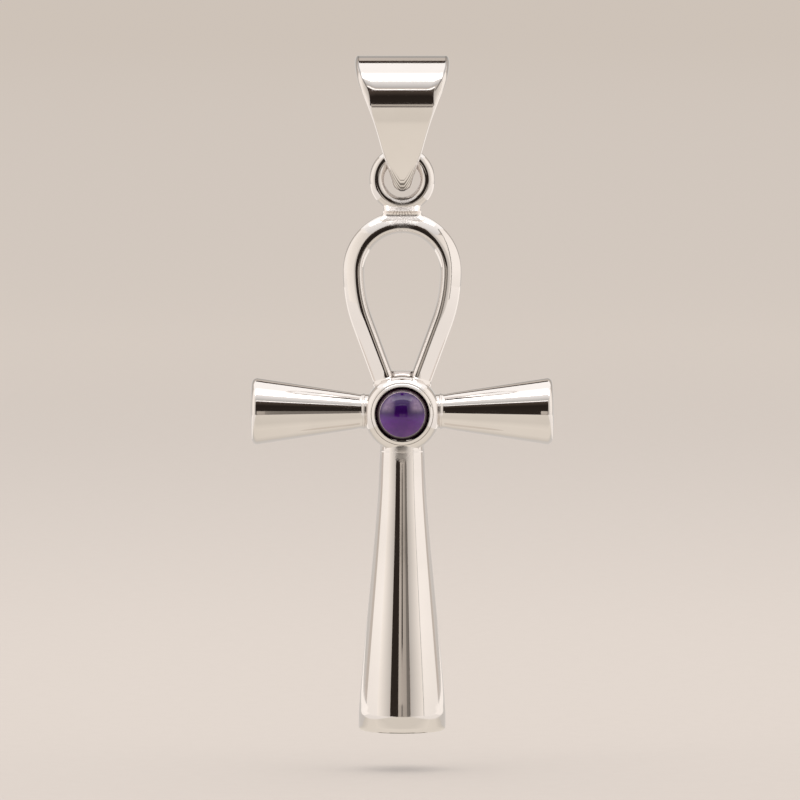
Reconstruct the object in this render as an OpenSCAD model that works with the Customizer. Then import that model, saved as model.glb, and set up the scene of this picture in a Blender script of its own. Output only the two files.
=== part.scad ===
// Ankh pendant in polished silver with a round violet cabochon, hanging from a folded bail.
// Millimetres. +Z is up and the front looks along -Y. The origin is the middle of the bail's
// inner top, where a chain carries the pendant.

/* [Bail] */
// Width of the bail across its top
bail_w = 6.96; // [5.6:0.02:9]
// Depth of the bail's barrel, front to back
barrel_d = 9; // [8.2:0.1:10]
// Radius of the barrel's broad top
barrel_top_r = 6.9; // [5.5:0.1:9]
// Radius of the barrel's front and back
barrel_side_r = 3; // [2.6:0.05:3.4]
// Height of the bail from its top to the tip of its leaves
bail_h = 10.03; // [9:0.01:13]
// Thickness of the folded sheet
sheet_t = 0.7; // [0.5:0.05:1]
// Radius of the joined tips as seen from the side
tip_side_r = 0.45; // [0.3:0.05:0.6]
// Radius of the joined tips as seen from the front
tip_front_r = 0.7; // [0.5:0.05:0.8]
// Radius of the rounded floor between the two leaves
floor_r = 1; // [0.85:0.01:1.1]

/* [Ring] */
// Outer diameter of the closed ring
ring_d = 4.88; // [4.6:0.02:5.6]
// Thickness of the ring's round wire
ring_wire = 1.15; // [0.9:0.05:1.3]
// Side room of the leaves in the ring's hole
leaf_clear = 0.25; // [0.15:0.05:0.4]
// Running room between the ring and the floor that carries it
ring_clear = 0.1; // [0.06:0.01:0.14]

/* [Neck] */
// Width of the solder block between ring and loop
neck_w = 2.74; // [2:0.02:3.2]
// Depth of the solder block, front to back
neck_depth = 1.05; // [0.8:0.05:1.2]
// Flare of the solder block onto the loop, to each side
neck_flare = 0.22; // [0.1:0.02:0.4]
// How far the ring sinks into the top of the loop
ring_sink = 0.08; // [0.04:0.01:0.2]

/* [Loop] */
// Width of the loop across its widest place
loop_w = 8.8; // [7.5:0.1:11]
// Width of the band's long slope, from its crest to the outer edge
band_outer = 1.2; // [0.9:0.05:1.5]
// Width of the band's short slope, from its crest to the inner edge
band_inner = 0.36; // [0.25:0.01:0.5]
// Depth of the band, front to back
band_depth = 1.7; // [1.3:0.05:2.2]
// Radius of the long curves at the sides of the loop
side_r = 10.6; // [8:0.1:14]
// Lean of each straight strand from the upright
strand_lean = 20.3; // [16:0.1:24]

/* [Hub and bezel] */
// Diameter of the hub
hub_d = 5.62; // [5.3:0.02:7]
// Depth of the hub from its back to the bezel's crest
hub_depth = 3.6; // [3.2:0.1:4.6]
// Rounding of the hub's back edge
hub_edge = 0.3; // [0.1:0.05:0.4]
// Wall of the bezel, from the stone's seat out to the crest
bezel_wall = 0.2; // [0.16:0.02:0.3]
// Width of the crest itself
crest_w = 0.06; // [0.04:0.01:0.1]
// Depth of the round slope from the crest back to the hub's side
bezel_slope = 1; // [0.6:0.05:1.2]
// Depth of the lip's bevel down to the stone
lip_bevel = 0.17; // [0.1:0.01:0.25]
// How far the bezel's lip reaches past the stone's widest line
lip_grip = 0.25; // [0.15:0.05:0.35]
// Gap round the stone
stone_clear = 0.04; // [0.02:0.01:0.06]

/* [Stone] */
// Diameter of the cabochon
stone_d = 4; // [3.6:0.1:4.4]
// Height of the cabochon's straight base
stone_base = 0.6; // [0.4:0.05:0.9]
// Height of the cabochon's dome
stone_dome = 1.5; // [1:0.05:1.8]

/* [Arms] */
// Width of the pendant across the ends of both arms
span = 22.46; // [19:0.02:28]
// Diameter of each arm where it leaves the hub
arm_inner_d = 2.5; // [2:0.02:3]
// Diameter of each arm at its end
arm_end_d = 4.84; // [3.6:0.02:6]
// Height of the arms' axis above the middle of the hub
arm_up = 0.1; // [0:0.01:0.3]
// Rounding of the edge at an arm's end
arm_edge = 0.4; // [0.15:0.05:0.5]
// Rise of the domed face at an arm's end
arm_dome = 0.1; // [0.05:0.05:0.4]
// Width of the collar between arm and hub
collar_w = 0.2; // [0.1:0.02:0.3]
// Height of that collar over the arm
collar_step = 0.06; // [0.03:0.01:0.12]

/* [Shaft] */
// Length from the middle of the hub to the foot of the shaft
shaft_len = 23.76; // [19:0.02:30]
// Diameter of the shaft where it leaves the hub
shaft_top_d = 3.28; // [2.8:0.02:4]
// Diameter of the shaft at its foot
shaft_end_d = 6.42; // [5:0.02:8]
// Rounding of the edge at the shaft's foot
shaft_edge = 0.25; // [0.15:0.05:0.5]
// Rise of the domed face at the shaft's foot
shaft_dome = 0.4; // [0.1:0.05:0.6]

/* [Hidden] */
$fn = 96;
SILVER = [0.82, 0.82, 0.83];
AMETHYST = [0.38, 0.17, 0.55];
ARC_STEPS = 8;
BARREL_STEPS = 24;
CURVE_STEPS = 6;
SECTION_STEPS = 24;
TRIM_ANGLE = 3;

// The bail, with the inside of its top at height zero
bail_top_z = sheet_t;
bail_tip_z = bail_top_z - bail_h;
top_centre_z = bail_top_z - barrel_top_r;
side_centre_y = barrel_d / 2 - barrel_side_r;
side_centre_z = top_centre_z + sqrt(pow(barrel_top_r - barrel_side_r, 2) - pow(side_centre_y, 2));
shoulder_turn = atan2(side_centre_z - top_centre_z, side_centre_y);
tip_centre_z = bail_tip_z + tip_side_r;
leaf_lean = atan2(side_centre_y, side_centre_z - tip_centre_z)
    + asin((barrel_side_r - tip_side_r) / norm([side_centre_y, side_centre_z - tip_centre_z]));
floor_centre_z = tip_centre_z + (floor_r + sheet_t - tip_side_r) / sin(leaf_lean);
floor_z = floor_centre_z - floor_r;

// The ring rests on the corners of the floor and swings about the underside of its top wire
ring_hole_r = ring_d / 2 - ring_wire;
ring_mid_r = (ring_d - ring_wire) / 2;
leaf_floor_w = ring_hole_r - leaf_clear;
ring_z = floor_z + ring_clear - sqrt(pow(ring_hole_r, 2) - pow(leaf_floor_w, 2));
swing_z = ring_z + ring_hole_r;
echo(swing_axis_height = swing_z);

// The loop, measured from the middle of the hub, at which both strands aim
crest_r = loop_w / 2 - band_outer;
crest_end_x = side_r * cos(strand_lean) - (side_r - crest_r);
loop_rise = crest_end_x / tan(strand_lean) + side_r * sin(strand_lean);
loop_top_rise = loop_rise + crest_r + band_outer;
hub_z = ring_z - ring_d / 2 + ring_sink - loop_top_rise;
hub_r = hub_d / 2;
half_hub = hub_depth / 2;
strand_len = crest_end_x / sin(strand_lean) - hub_r / 2;

// The stone in its seat, measured forward from the middle of the hub
stone_r = stone_d / 2;
dome_r = (pow(stone_r, 2) + pow(stone_dome, 2)) / (2 * stone_dome);
lip_front = half_hub - lip_bevel;
girdle_front = lip_front - lip_grip;
seat_front = girdle_front - stone_base;
seat_r = stone_r + stone_clear;
lip_r = sqrt(pow(dome_r, 2) - pow(dome_r - stone_dome + lip_grip, 2)) + stone_clear;
bezel_crest_r = seat_r + bezel_wall;

// Half the bail's width down to its floor: how far down, and how much of the narrowing is left
LEAF_DOWN = 0;
LEAF_LEFT = 1;
LEAF_ROWS = [
    [0.00, 1.00], [0.06, 1.00], [0.13, 0.96], [0.21, 0.89], [0.30, 0.78], [0.36, 0.69],
    [0.43, 0.58], [0.50, 0.51], [0.60, 0.41], [0.72, 0.30], [0.84, 0.19], [1.00, 0.00]
];

// The shaft's flare: how far down, and how much of the widening is reached
FLARE_DOWN = 0;
FLARE_REACHED = 1;
FLARE_ROWS = [
    [0.00, 0.00], [0.10, 0.04], [0.19, 0.10], [0.34, 0.25], [0.52, 0.46], [0.70, 0.69],
    [0.87, 0.91], [0.95, 0.98], [1.00, 1.00]
];

// One value of a smooth curve through four even knots, the second and third of them its ends
function knot(a, b, c, d, t) =
    ((2 * b) + (c - a) * t + (2 * a - 5 * b + 4 * c - d) * t * t
    + (3 * b - a - 3 * c + d) * t * t * t) / 2;

// The rows of a table joined into one smooth run of points
function smooth_rows(rows, steps) = [
    for (i = [0:len(rows) - 2], j = [0:steps - 1])
        let (
            before = rows[max(i - 1, 0)],
            after = rows[min(i + 2, len(rows) - 1)],
            t = j / steps
        )
        [for (k = [0:1]) knot(before[k], rows[i][k], rows[i + 1][k], after[k], t)],
    rows[len(rows) - 1]
];

// Points of an oval's arc, both ends included
function oval(x, y, wide, high, from, to, steps) = [
    for (i = [0:steps])
        let (a = from + (to - from) * i / steps)
        [x + wide * cos(a), y + high * sin(a)]
];

// Points of a round arc
function arc(x, y, r, from, to, steps) = oval(x, y, r, r, from, to, steps);

// The closed end of a turned piece, from its side round the edge and over a shallow dome
function turned_end(r, reach, edge, dome) = concat(
    arc(r - edge, reach - dome - edge, edge, 0, 90, ARC_STEPS),
    [for (i = [1:ARC_STEPS]) let (in = 1 - i / ARC_STEPS) [(r - edge) * in, reach - dome * in * in]]
);

// Half of a symmetric outline, closed by its own mirror image
function both_sides(right) = concat(
    right,
    [for (i = [len(right) - 1:-1:0]) if (right[i][0] > 0) [-right[i][0], right[i][1]]]
);

// The bail from the side, drawn in by an inset, with straight leaves down to a round end
module bail_from_side(inset, end_r, end_z) {
    polygon(both_sides(concat(
        arc(0, top_centre_z, barrel_top_r - inset, 90, shoulder_turn, ARC_STEPS),
        arc(side_centre_y, side_centre_z, barrel_side_r - inset, shoulder_turn, -leaf_lean, BARREL_STEPS),
        arc(0, end_z, end_r, -leaf_lean, -90, ARC_STEPS)
    )));
}

module bail_from_front() {
    leaf = [
        for (p = smooth_rows(LEAF_ROWS, CURVE_STEPS)) [
            leaf_floor_w + p[LEAF_LEFT] * (bail_w / 2 - leaf_floor_w),
            bail_top_z + p[LEAF_DOWN] * (floor_z - bail_top_z)
        ]
    ];
    tip_z = bail_tip_z + tip_front_r;
    reach = norm([leaf_floor_w, floor_z - tip_z]);
    turn = atan2(floor_z - tip_z, leaf_floor_w) - acos(tip_front_r / reach);
    tip = arc(0, tip_z, tip_front_r, turn, -90, ARC_STEPS);
    polygon(both_sides(concat(leaf, tip)));
}

module bail() {
    color(SILVER)
        intersection() {
            rotate([90, 0, 90])
                linear_extrude(bail_w + 2, center = true)
                    difference() {
                        bail_from_side(0, tip_side_r, tip_centre_z);
                        bail_from_side(sheet_t, floor_r, floor_centre_z);
                    }
            rotate([90, 0, 0])
                linear_extrude(barrel_d + 2, center = true)
                    bail_from_front();
        }
}

module ring() {
    translate([0, 0, ring_z])
        rotate([90, 0, 0])
            rotate_extrude()
                translate([ring_mid_r, 0])
                    circle(ring_wire / 2);
}

module neck() {
    foot_z = hub_z + loop_rise + sqrt(pow(crest_r + band_outer, 2) - pow(neck_w / 2, 2));
    flare = arc(neck_w / 2 + neck_flare, foot_z + neck_flare, neck_flare, 180, 270, ARC_STEPS);
    rotate([90, 0, 0])
        linear_extrude(neck_depth, center = true)
            polygon(both_sides(concat(
                [[neck_w / 2, ring_z - ring_mid_r]],
                flare,
                [[neck_w / 2 + neck_flare, hub_z + loop_rise + crest_r]]
            )));
}

// The band's section: a crest near the inner edge, with a long slope outwards
module band_section() {
    polygon([
        for (i = [0:SECTION_STEPS - 1])
            let (a = 360 * i / SECTION_STEPS)
            [(cos(a) > 0 ? band_outer : band_inner) * cos(a), band_depth / 2 * sin(a)]
    ]);
}

// A side curve and its straight strand, trimmed level with the ends of the round top
module strand() {
    difference() {
        translate([crest_r - side_r, 0, 0])
            rotate([0, 0, -strand_lean]) {
                rotate_extrude(angle = strand_lean + TRIM_ANGLE)
                    translate([side_r, 0])
                        band_section();
                translate([side_r, 0, 0])
                    rotate([90, 0, 0])
                        linear_extrude(strand_len)
                            band_section();
            }
        translate([0, 0, -band_depth])
            cube([loop_w, side_r, 2 * band_depth]);
    }
}

module loop() {
    translate([0, 0, hub_z + loop_rise])
        rotate([90, 0, 0]) {
            rotate_extrude(angle = 180)
                translate([crest_r, 0])
                    band_section();
            strand();
            mirror([1, 0, 0])
                strand();
        }
}

module arm() {
    collar_r = arm_inner_d / 2 + collar_step;
    collar_end = hub_r + collar_w;
    rotate([0, 90, 0])
        rotate_extrude()
            polygon(concat(
                [
                    [0, hub_r / 2],
                    [collar_r, hub_r / 2],
                    [collar_r, collar_end],
                    [arm_inner_d / 2, collar_end]
                ],
                turned_end(arm_end_d / 2, span / 2, arm_edge, arm_dome)
            ));
}

module shaft() {
    side_len = shaft_len - hub_r - shaft_dome - shaft_edge;
    side = [
        for (p = smooth_rows(FLARE_ROWS, CURVE_STEPS)) [
            (shaft_top_d + p[FLARE_REACHED] * (shaft_end_d - shaft_top_d)) / 2,
            hub_r + p[FLARE_DOWN] * side_len
        ]
    ];
    rotate([180, 0, 0])
        rotate_extrude()
            polygon(concat(
                [[0, hub_r / 2], [shaft_top_d / 2, hub_r / 2]],
                side,
                turned_end(shaft_end_d / 2, shaft_len, shaft_edge, shaft_dome)
            ));
}

// The hub with its rim, which slopes up to the bezel's crest as the loop's band does to its own
module hub() {
    slope_w = hub_r - bezel_crest_r;
    rotate([90, 0, 0])
        rotate_extrude()
            polygon(concat(
                [[0, -half_hub]],
                arc(hub_r - hub_edge, hub_edge - half_hub, hub_edge, -90, 0, ARC_STEPS),
                oval(bezel_crest_r, half_hub - bezel_slope, slope_w, bezel_slope, 0, 90, ARC_STEPS),
                [[0, half_hub]]
            ));
}

// The hollow that the stone fills, narrowed at the front by the bezel's bevelled lip
module seat() {
    rotate([90, 0, 0])
        rotate_extrude()
            polygon([
                [0, seat_front - stone_clear],
                [seat_r, seat_front - stone_clear],
                [seat_r, girdle_front],
                [lip_r, lip_front],
                [bezel_crest_r - crest_w, half_hub],
                [bezel_crest_r - crest_w, half_hub + stone_dome],
                [0, half_hub + stone_dome]
            ]);
}

// All that is cast or soldered together in silver
module ankh() {
    color(SILVER) {
        difference() {
            union() {
                translate([0, 0, hub_z]) {
                    hub();
                    shaft();
                    translate([0, 0, arm_up]) {
                        arm();
                        mirror([1, 0, 0])
                            arm();
                    }
                }
                loop();
                neck();
                ring();
            }
            translate([0, 0, hub_z])
                seat();
        }
    }
}

module cabochon() {
    color(AMETHYST)
        translate([0, -seat_front, hub_z])
            rotate([90, 0, 0]) {
                cylinder(h = stone_base, r = stone_r);
                intersection() {
                    translate([0, 0, stone_base + stone_dome - dome_r])
                        sphere(dome_r);
                    translate([0, 0, stone_base])
                        cylinder(h = stone_dome, r = stone_r);
                }
            }
}

bail();
ankh();
cabochon();
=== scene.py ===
"""Looks of an ankh pendant in polished silver, with a violet stone and a folded bail.

A piece is modelled in millimetres and brought to metres when it is done, with its place in its
mesh. The front looks along -Y, +Z is up, and the origin is where a chain carries the bail.
"""

from __future__ import annotations

import logging
import math
from collections.abc import Callable, Sequence
from dataclasses import dataclass
from enum import Enum
from itertools import pairwise

import bmesh
import bpy
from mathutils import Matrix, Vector

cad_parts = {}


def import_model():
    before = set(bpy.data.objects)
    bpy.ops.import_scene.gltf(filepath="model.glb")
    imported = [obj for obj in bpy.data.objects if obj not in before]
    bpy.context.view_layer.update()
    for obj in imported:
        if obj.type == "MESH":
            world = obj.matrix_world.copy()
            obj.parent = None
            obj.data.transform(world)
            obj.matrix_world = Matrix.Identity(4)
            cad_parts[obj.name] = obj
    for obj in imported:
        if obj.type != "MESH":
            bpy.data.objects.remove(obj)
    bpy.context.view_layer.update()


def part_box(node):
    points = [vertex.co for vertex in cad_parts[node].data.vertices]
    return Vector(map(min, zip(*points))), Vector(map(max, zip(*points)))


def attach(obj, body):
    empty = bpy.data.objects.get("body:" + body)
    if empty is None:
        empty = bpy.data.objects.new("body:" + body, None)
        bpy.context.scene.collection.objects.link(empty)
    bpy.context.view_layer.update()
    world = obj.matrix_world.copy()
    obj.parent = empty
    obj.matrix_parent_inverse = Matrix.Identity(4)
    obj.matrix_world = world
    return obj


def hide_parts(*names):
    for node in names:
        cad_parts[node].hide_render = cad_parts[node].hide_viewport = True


LOG = logging.getLogger("ankh_pendant")

# Metres in a millimetre
MM = 0.001

# In millimetres, how near two places are that count as one, and the ring that closes in a point
TOUCH = 0.004
POINT_R = 0.001

# Moves in millimetres, and turns and growths, that are too small to be worth making
LEAST_MOVE = 1e-5
LEAST_TURN = 1e-6

# Edges that turn by more than this many degrees are shown sharp
SHARP_ANGLE = 38.0

# Vertices round a turned piece
TURN_SIDES = 160

# Radius of the hub in millimetres, which the loop and the shaft grow out of
HUB_R = 2.81

Pair = tuple[float, float]
Triple = tuple[float, float, float]
Colour = tuple[float, float, float]


class Slot(Enum):
    """The record's material slots. No piece here takes its finish from them."""

    SILVER = "polished_silver"
    STONE = "violet_stone"


class Body(Enum):
    """The bodies that the pieces move with."""

    BAIL = "bail"
    PENDANT = "pendant"


def arc(centre: Pair, radii: Pair, start: float, stop: float, steps: int) -> list[Pair]:
    """Points of an oval's arc, both ends included.

    Args:
        centre: middle of the oval.
        radii: half its width and half its height.
        start: first angle in degrees.
        stop: last angle in degrees.
        steps: number of stretches.

    Returns:
        The points from start to stop.
    """
    points = []
    for step in range(steps + 1):
        angle = math.radians(start + (stop - start) * step / steps)
        across, up = radii[0] * math.cos(angle), radii[1] * math.sin(angle)
        points.append((centre[0] + across, centre[1] + up))
    return points


def smooth_run(rows: Sequence[Pair], steps: int) -> list[Pair]:
    """Joins the rows of a table into one smooth run of points.

    Args:
        rows: the table.
        steps: points for each stretch between two rows.

    Returns:
        The points, the table's rows among them.
    """
    points: list[Pair] = []
    last = len(rows) - 1
    for index in range(last):
        a, b = rows[max(index - 1, 0)], rows[index]
        c, d = rows[index + 1], rows[min(index + 2, last)]
        for step in range(steps):
            t = step / steps
            point = [
                (
                    2 * b[k]
                    + (c[k] - a[k]) * t
                    + (2 * a[k] - 5 * b[k] + 4 * c[k] - d[k]) * t**2
                    + (3 * b[k] - a[k] - 3 * c[k] + d[k]) * t**3
                )
                / 2
                for k in (0, 1)
            ]
            points.append((point[0], point[1]))
    points.append(rows[last])
    return points


def domed(radius: float, reach: float, rise: float, steps: int) -> list[Pair]:
    """Closes the end of a turned piece with a shallow dome.

    Args:
        radius: where the dome begins.
        reach: how far out its middle is.
        rise: how far its middle stands over where it begins.
        steps: number of stretches.

    Returns:
        Radius and distance of each row, the first one left out.
    """
    insides = [1 - step / steps for step in range(1, steps + 1)]
    return [(radius * inside, reach - rise * inside**2) for inside in insides]


def value_at(run: Sequence[Pair], place: float) -> float:
    """Reads a run of points at one place.

    Args:
        run: points in rising order of their first number.
        place: where to read.

    Returns:
        The second number there, held level past both ends.
    """
    if place <= run[0][0]:
        return run[0][1]
    for low, high in pairwise(run):
        if place <= high[0]:
            share = (place - low[0]) / (high[0] - low[0])
            return low[1] + share * (high[1] - low[1])
    return run[-1][1]


class Bench:
    """The few moves that every piece is made with."""

    @staticmethod
    def clear() -> None:
        """Leaves edit mode and deselects everything."""
        if bpy.context.mode != "OBJECT":
            bpy.ops.object.mode_set(mode="OBJECT")
        bpy.ops.object.select_all(action="DESELECT")

    @staticmethod
    def take(piece: bpy.types.Object) -> None:
        """Makes a piece the only one that is selected and active.

        Args:
            piece: the piece.
        """
        Bench.clear()
        piece.select_set(True)
        bpy.context.view_layer.objects.active = piece

    @staticmethod
    def named(name: str) -> bpy.types.Object:
        """Names the primitive that was just added, and its mesh.

        Args:
            name: the piece's name.

        Returns:
            The piece, with its place in its mesh.
        """
        piece = bpy.context.object
        piece.name = name
        piece.data.name = name
        bpy.ops.object.transform_apply(location=True, rotation=True, scale=True)
        return piece

    @staticmethod
    def edit(piece: bpy.types.Object) -> None:
        """Opens a piece for editing with all of it selected.

        Args:
            piece: the piece.
        """
        Bench.take(piece)
        bpy.ops.object.mode_set(mode="EDIT")
        bpy.ops.mesh.select_mode(type="VERT")
        bpy.ops.mesh.select_all(action="SELECT")

    @staticmethod
    def pick(
        piece: bpy.types.Object,
        test: Callable[[Vector], bool],
        among: Sequence[int] | None = None,
    ) -> None:
        """Selects by place, in edit mode.

        Args:
            piece: the piece being edited.
            test: says of a vertex's place whether it is wanted.
            among: numbers of the vertices to choose from, where it isn't all of them.
        """
        mesh = bmesh.from_edit_mesh(piece.data)
        mesh.verts.ensure_lookup_table()
        for item in (*mesh.faces, *mesh.edges, *mesh.verts):
            item.select = False
        numbers = range(len(mesh.verts)) if among is None else among
        for vertex in [mesh.verts[number] for number in numbers]:
            if test(vertex.co):
                vertex.select = True
        mesh.select_flush(True)
        bmesh.update_edit_mesh(piece.data)

    @staticmethod
    def picked(piece: bpy.types.Object) -> list[int]:
        """Finds what is selected, in edit mode.

        Args:
            piece: the piece being edited.

        Returns:
            The numbers of its selected vertices.
        """
        mesh = bmesh.from_edit_mesh(piece.data)
        mesh.verts.index_update()
        return [vertex.index for vertex in mesh.verts if vertex.select]

    @staticmethod
    def line(name: str, points: Sequence[Vector]) -> bpy.types.Object:
        """Draws a closed line from point to point.

        Args:
            name: the piece's name.
            points: the corners, in millimetres.

        Returns:
            The line, with all of it selected in edit mode.
        """
        Bench.clear()
        bpy.ops.mesh.primitive_plane_add(size=10 * POINT_R, location=points[0])
        piece = Bench.named(name)
        Bench.edit(piece)
        bpy.ops.mesh.merge(type="CENTER")
        for before, after in pairwise(points):
            Bench.extrude(after - before)
        ends = (points[0], points[-1])
        Bench.pick(piece, lambda co: min((co - end).length for end in ends) < POINT_R)
        bpy.ops.mesh.edge_face_add()
        Bench.pick(piece, lambda co: True)
        return piece

    @staticmethod
    def clean(piece: bpy.types.Object) -> None:
        """Merges what meets, closes points and turns the faces outwards.

        Args:
            piece: the piece, in millimetres.
        """
        Bench.edit(piece)
        bpy.ops.mesh.remove_doubles(threshold=TOUCH)
        bpy.ops.mesh.normals_make_consistent(inside=False)
        Bench.clear()

    @staticmethod
    def stand(piece: bpy.types.Object, turn: Triple, place: Triple) -> bpy.types.Object:
        """Turns a piece and sets it in place, still in millimetres.

        Args:
            piece: the piece.
            turn: turns about X, Y and Z in degrees.
            place: where its own origin goes.

        Returns:
            The same piece.
        """
        Bench.take(piece)
        piece.rotation_euler = [math.radians(angle) for angle in turn]
        piece.location = place
        bpy.ops.object.transform_apply(location=True, rotation=True, scale=True)
        return piece

    @staticmethod
    def settle(piece: bpy.types.Object) -> bpy.types.Object:
        """Brings a finished piece to metres, with its object at the origin and unscaled.

        Args:
            piece: the piece, in millimetres.

        Returns:
            The same piece, with its smooth faces shaded smooth.
        """
        Bench.take(piece)
        piece.scale = (MM, MM, MM)
        bpy.ops.object.transform_apply(location=True, rotation=True, scale=True)
        bpy.ops.object.shade_smooth_by_angle(angle=math.radians(SHARP_ANGLE))
        return piece

    @staticmethod
    def extrude(move: Vector | Triple) -> None:
        """Draws a new row or corner out of what is selected, in edit mode."""
        bpy.ops.mesh.extrude_region_move(TRANSFORM_OT_translate={"value": move})

    @staticmethod
    def mirror(piece: bpy.types.Object, axes: tuple[bool, bool, bool]) -> None:
        """Adds a piece's other halves.

        Args:
            piece: the piece, in millimetres.
            axes: whether it is mirrored along X, Y and Z.
        """
        mirror = piece.modifiers.new("halves", "MIRROR")
        mirror.use_axis = axes
        mirror.merge_threshold = TOUCH / 2
        Bench.apply_all(piece)

    @staticmethod
    def apply_all(piece: bpy.types.Object) -> None:
        """Applies a piece's modifiers in their order.

        Args:
            piece: the piece.
        """
        Bench.take(piece)
        for name in [modifier.name for modifier in piece.modifiers]:
            bpy.ops.object.modifier_apply(modifier=name)

    @staticmethod
    def turned(name: str, rows: Sequence[Pair], sides: int = TURN_SIDES) -> bpy.types.Object:
        """Turns a piece about Z, one ring of vertices for each row.

        Args:
            name: the piece's name.
            rows: radius and height of each ring. A radius of nothing closes in a point.
            sides: vertices in each ring.

        Returns:
            The closed piece, in millimetres.
        """
        Bench.clear()
        radius, height = rows[0]
        bpy.ops.mesh.primitive_circle_add(
            vertices=sides, radius=max(radius, POINT_R), location=(0, 0, height)
        )
        piece = Bench.named(name)
        Bench.edit(piece)
        for before, after in pairwise(rows):
            wider = max(after[0], POINT_R) / max(before[0], POINT_R)
            Bench.extrude((0, 0, after[1] - before[1]))
            bpy.ops.transform.resize(value=(wider, wider, 1), center_override=(0, 0, after[1]))
        Bench.clean(piece)
        return piece

    @staticmethod
    def seat(piece: bpy.types.Object, target: bpy.types.Object, weights: dict[int, float]) -> None:
        """Draws some vertices of a piece onto the surface that it is soldered to.

        Args:
            piece: the piece, in its place.
            target: the piece that carries it, in its place.
            weights: for each vertex, how much of the way it is drawn.
        """
        group = piece.vertex_groups.new(name="seat")
        for number, weight in weights.items():
            group.add([number], weight, "REPLACE")
        wrap = piece.modifiers.new("seat", "SHRINKWRAP")
        wrap.target = target
        wrap.wrap_method = "NEAREST_SURFACEPOINT"
        wrap.vertex_group = group.name
        Bench.apply_all(piece)
        piece.vertex_groups.clear()


@dataclass(frozen=True)
class Layout:
    """Main places of the pendant in millimetres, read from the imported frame."""

    bail_top: float
    bail_tip: float
    bail_half_width: float
    bail_half_depth: float
    ring_top: float
    foot: float
    half_span: float
    hub: float
    stone_r: float
    stone_front: float
    stone_back: float

    @classmethod
    def from_frame(cls) -> Layout:
        """Reads the corners of the three nodes.

        Returns:
            The places, with the stone's front and back measured forwards from the middle.
        """
        bail_low, bail_high = (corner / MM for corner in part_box("bail"))
        ankh_low, ankh_high = (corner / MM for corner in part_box("ankh"))
        stone_low, stone_high = (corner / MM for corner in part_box("cabochon"))
        return cls(
            bail_top=bail_high.z,
            bail_tip=bail_low.z,
            bail_half_width=bail_high.x,
            bail_half_depth=bail_high.y,
            ring_top=ankh_high.z,
            foot=ankh_low.z,
            half_span=ankh_high.x,
            hub=(stone_low.z + stone_high.z) / 2,
            stone_r=(stone_high.x - stone_low.x) / 2,
            stone_front=-stone_low.y,
            stone_back=-stone_high.y,
        )


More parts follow.
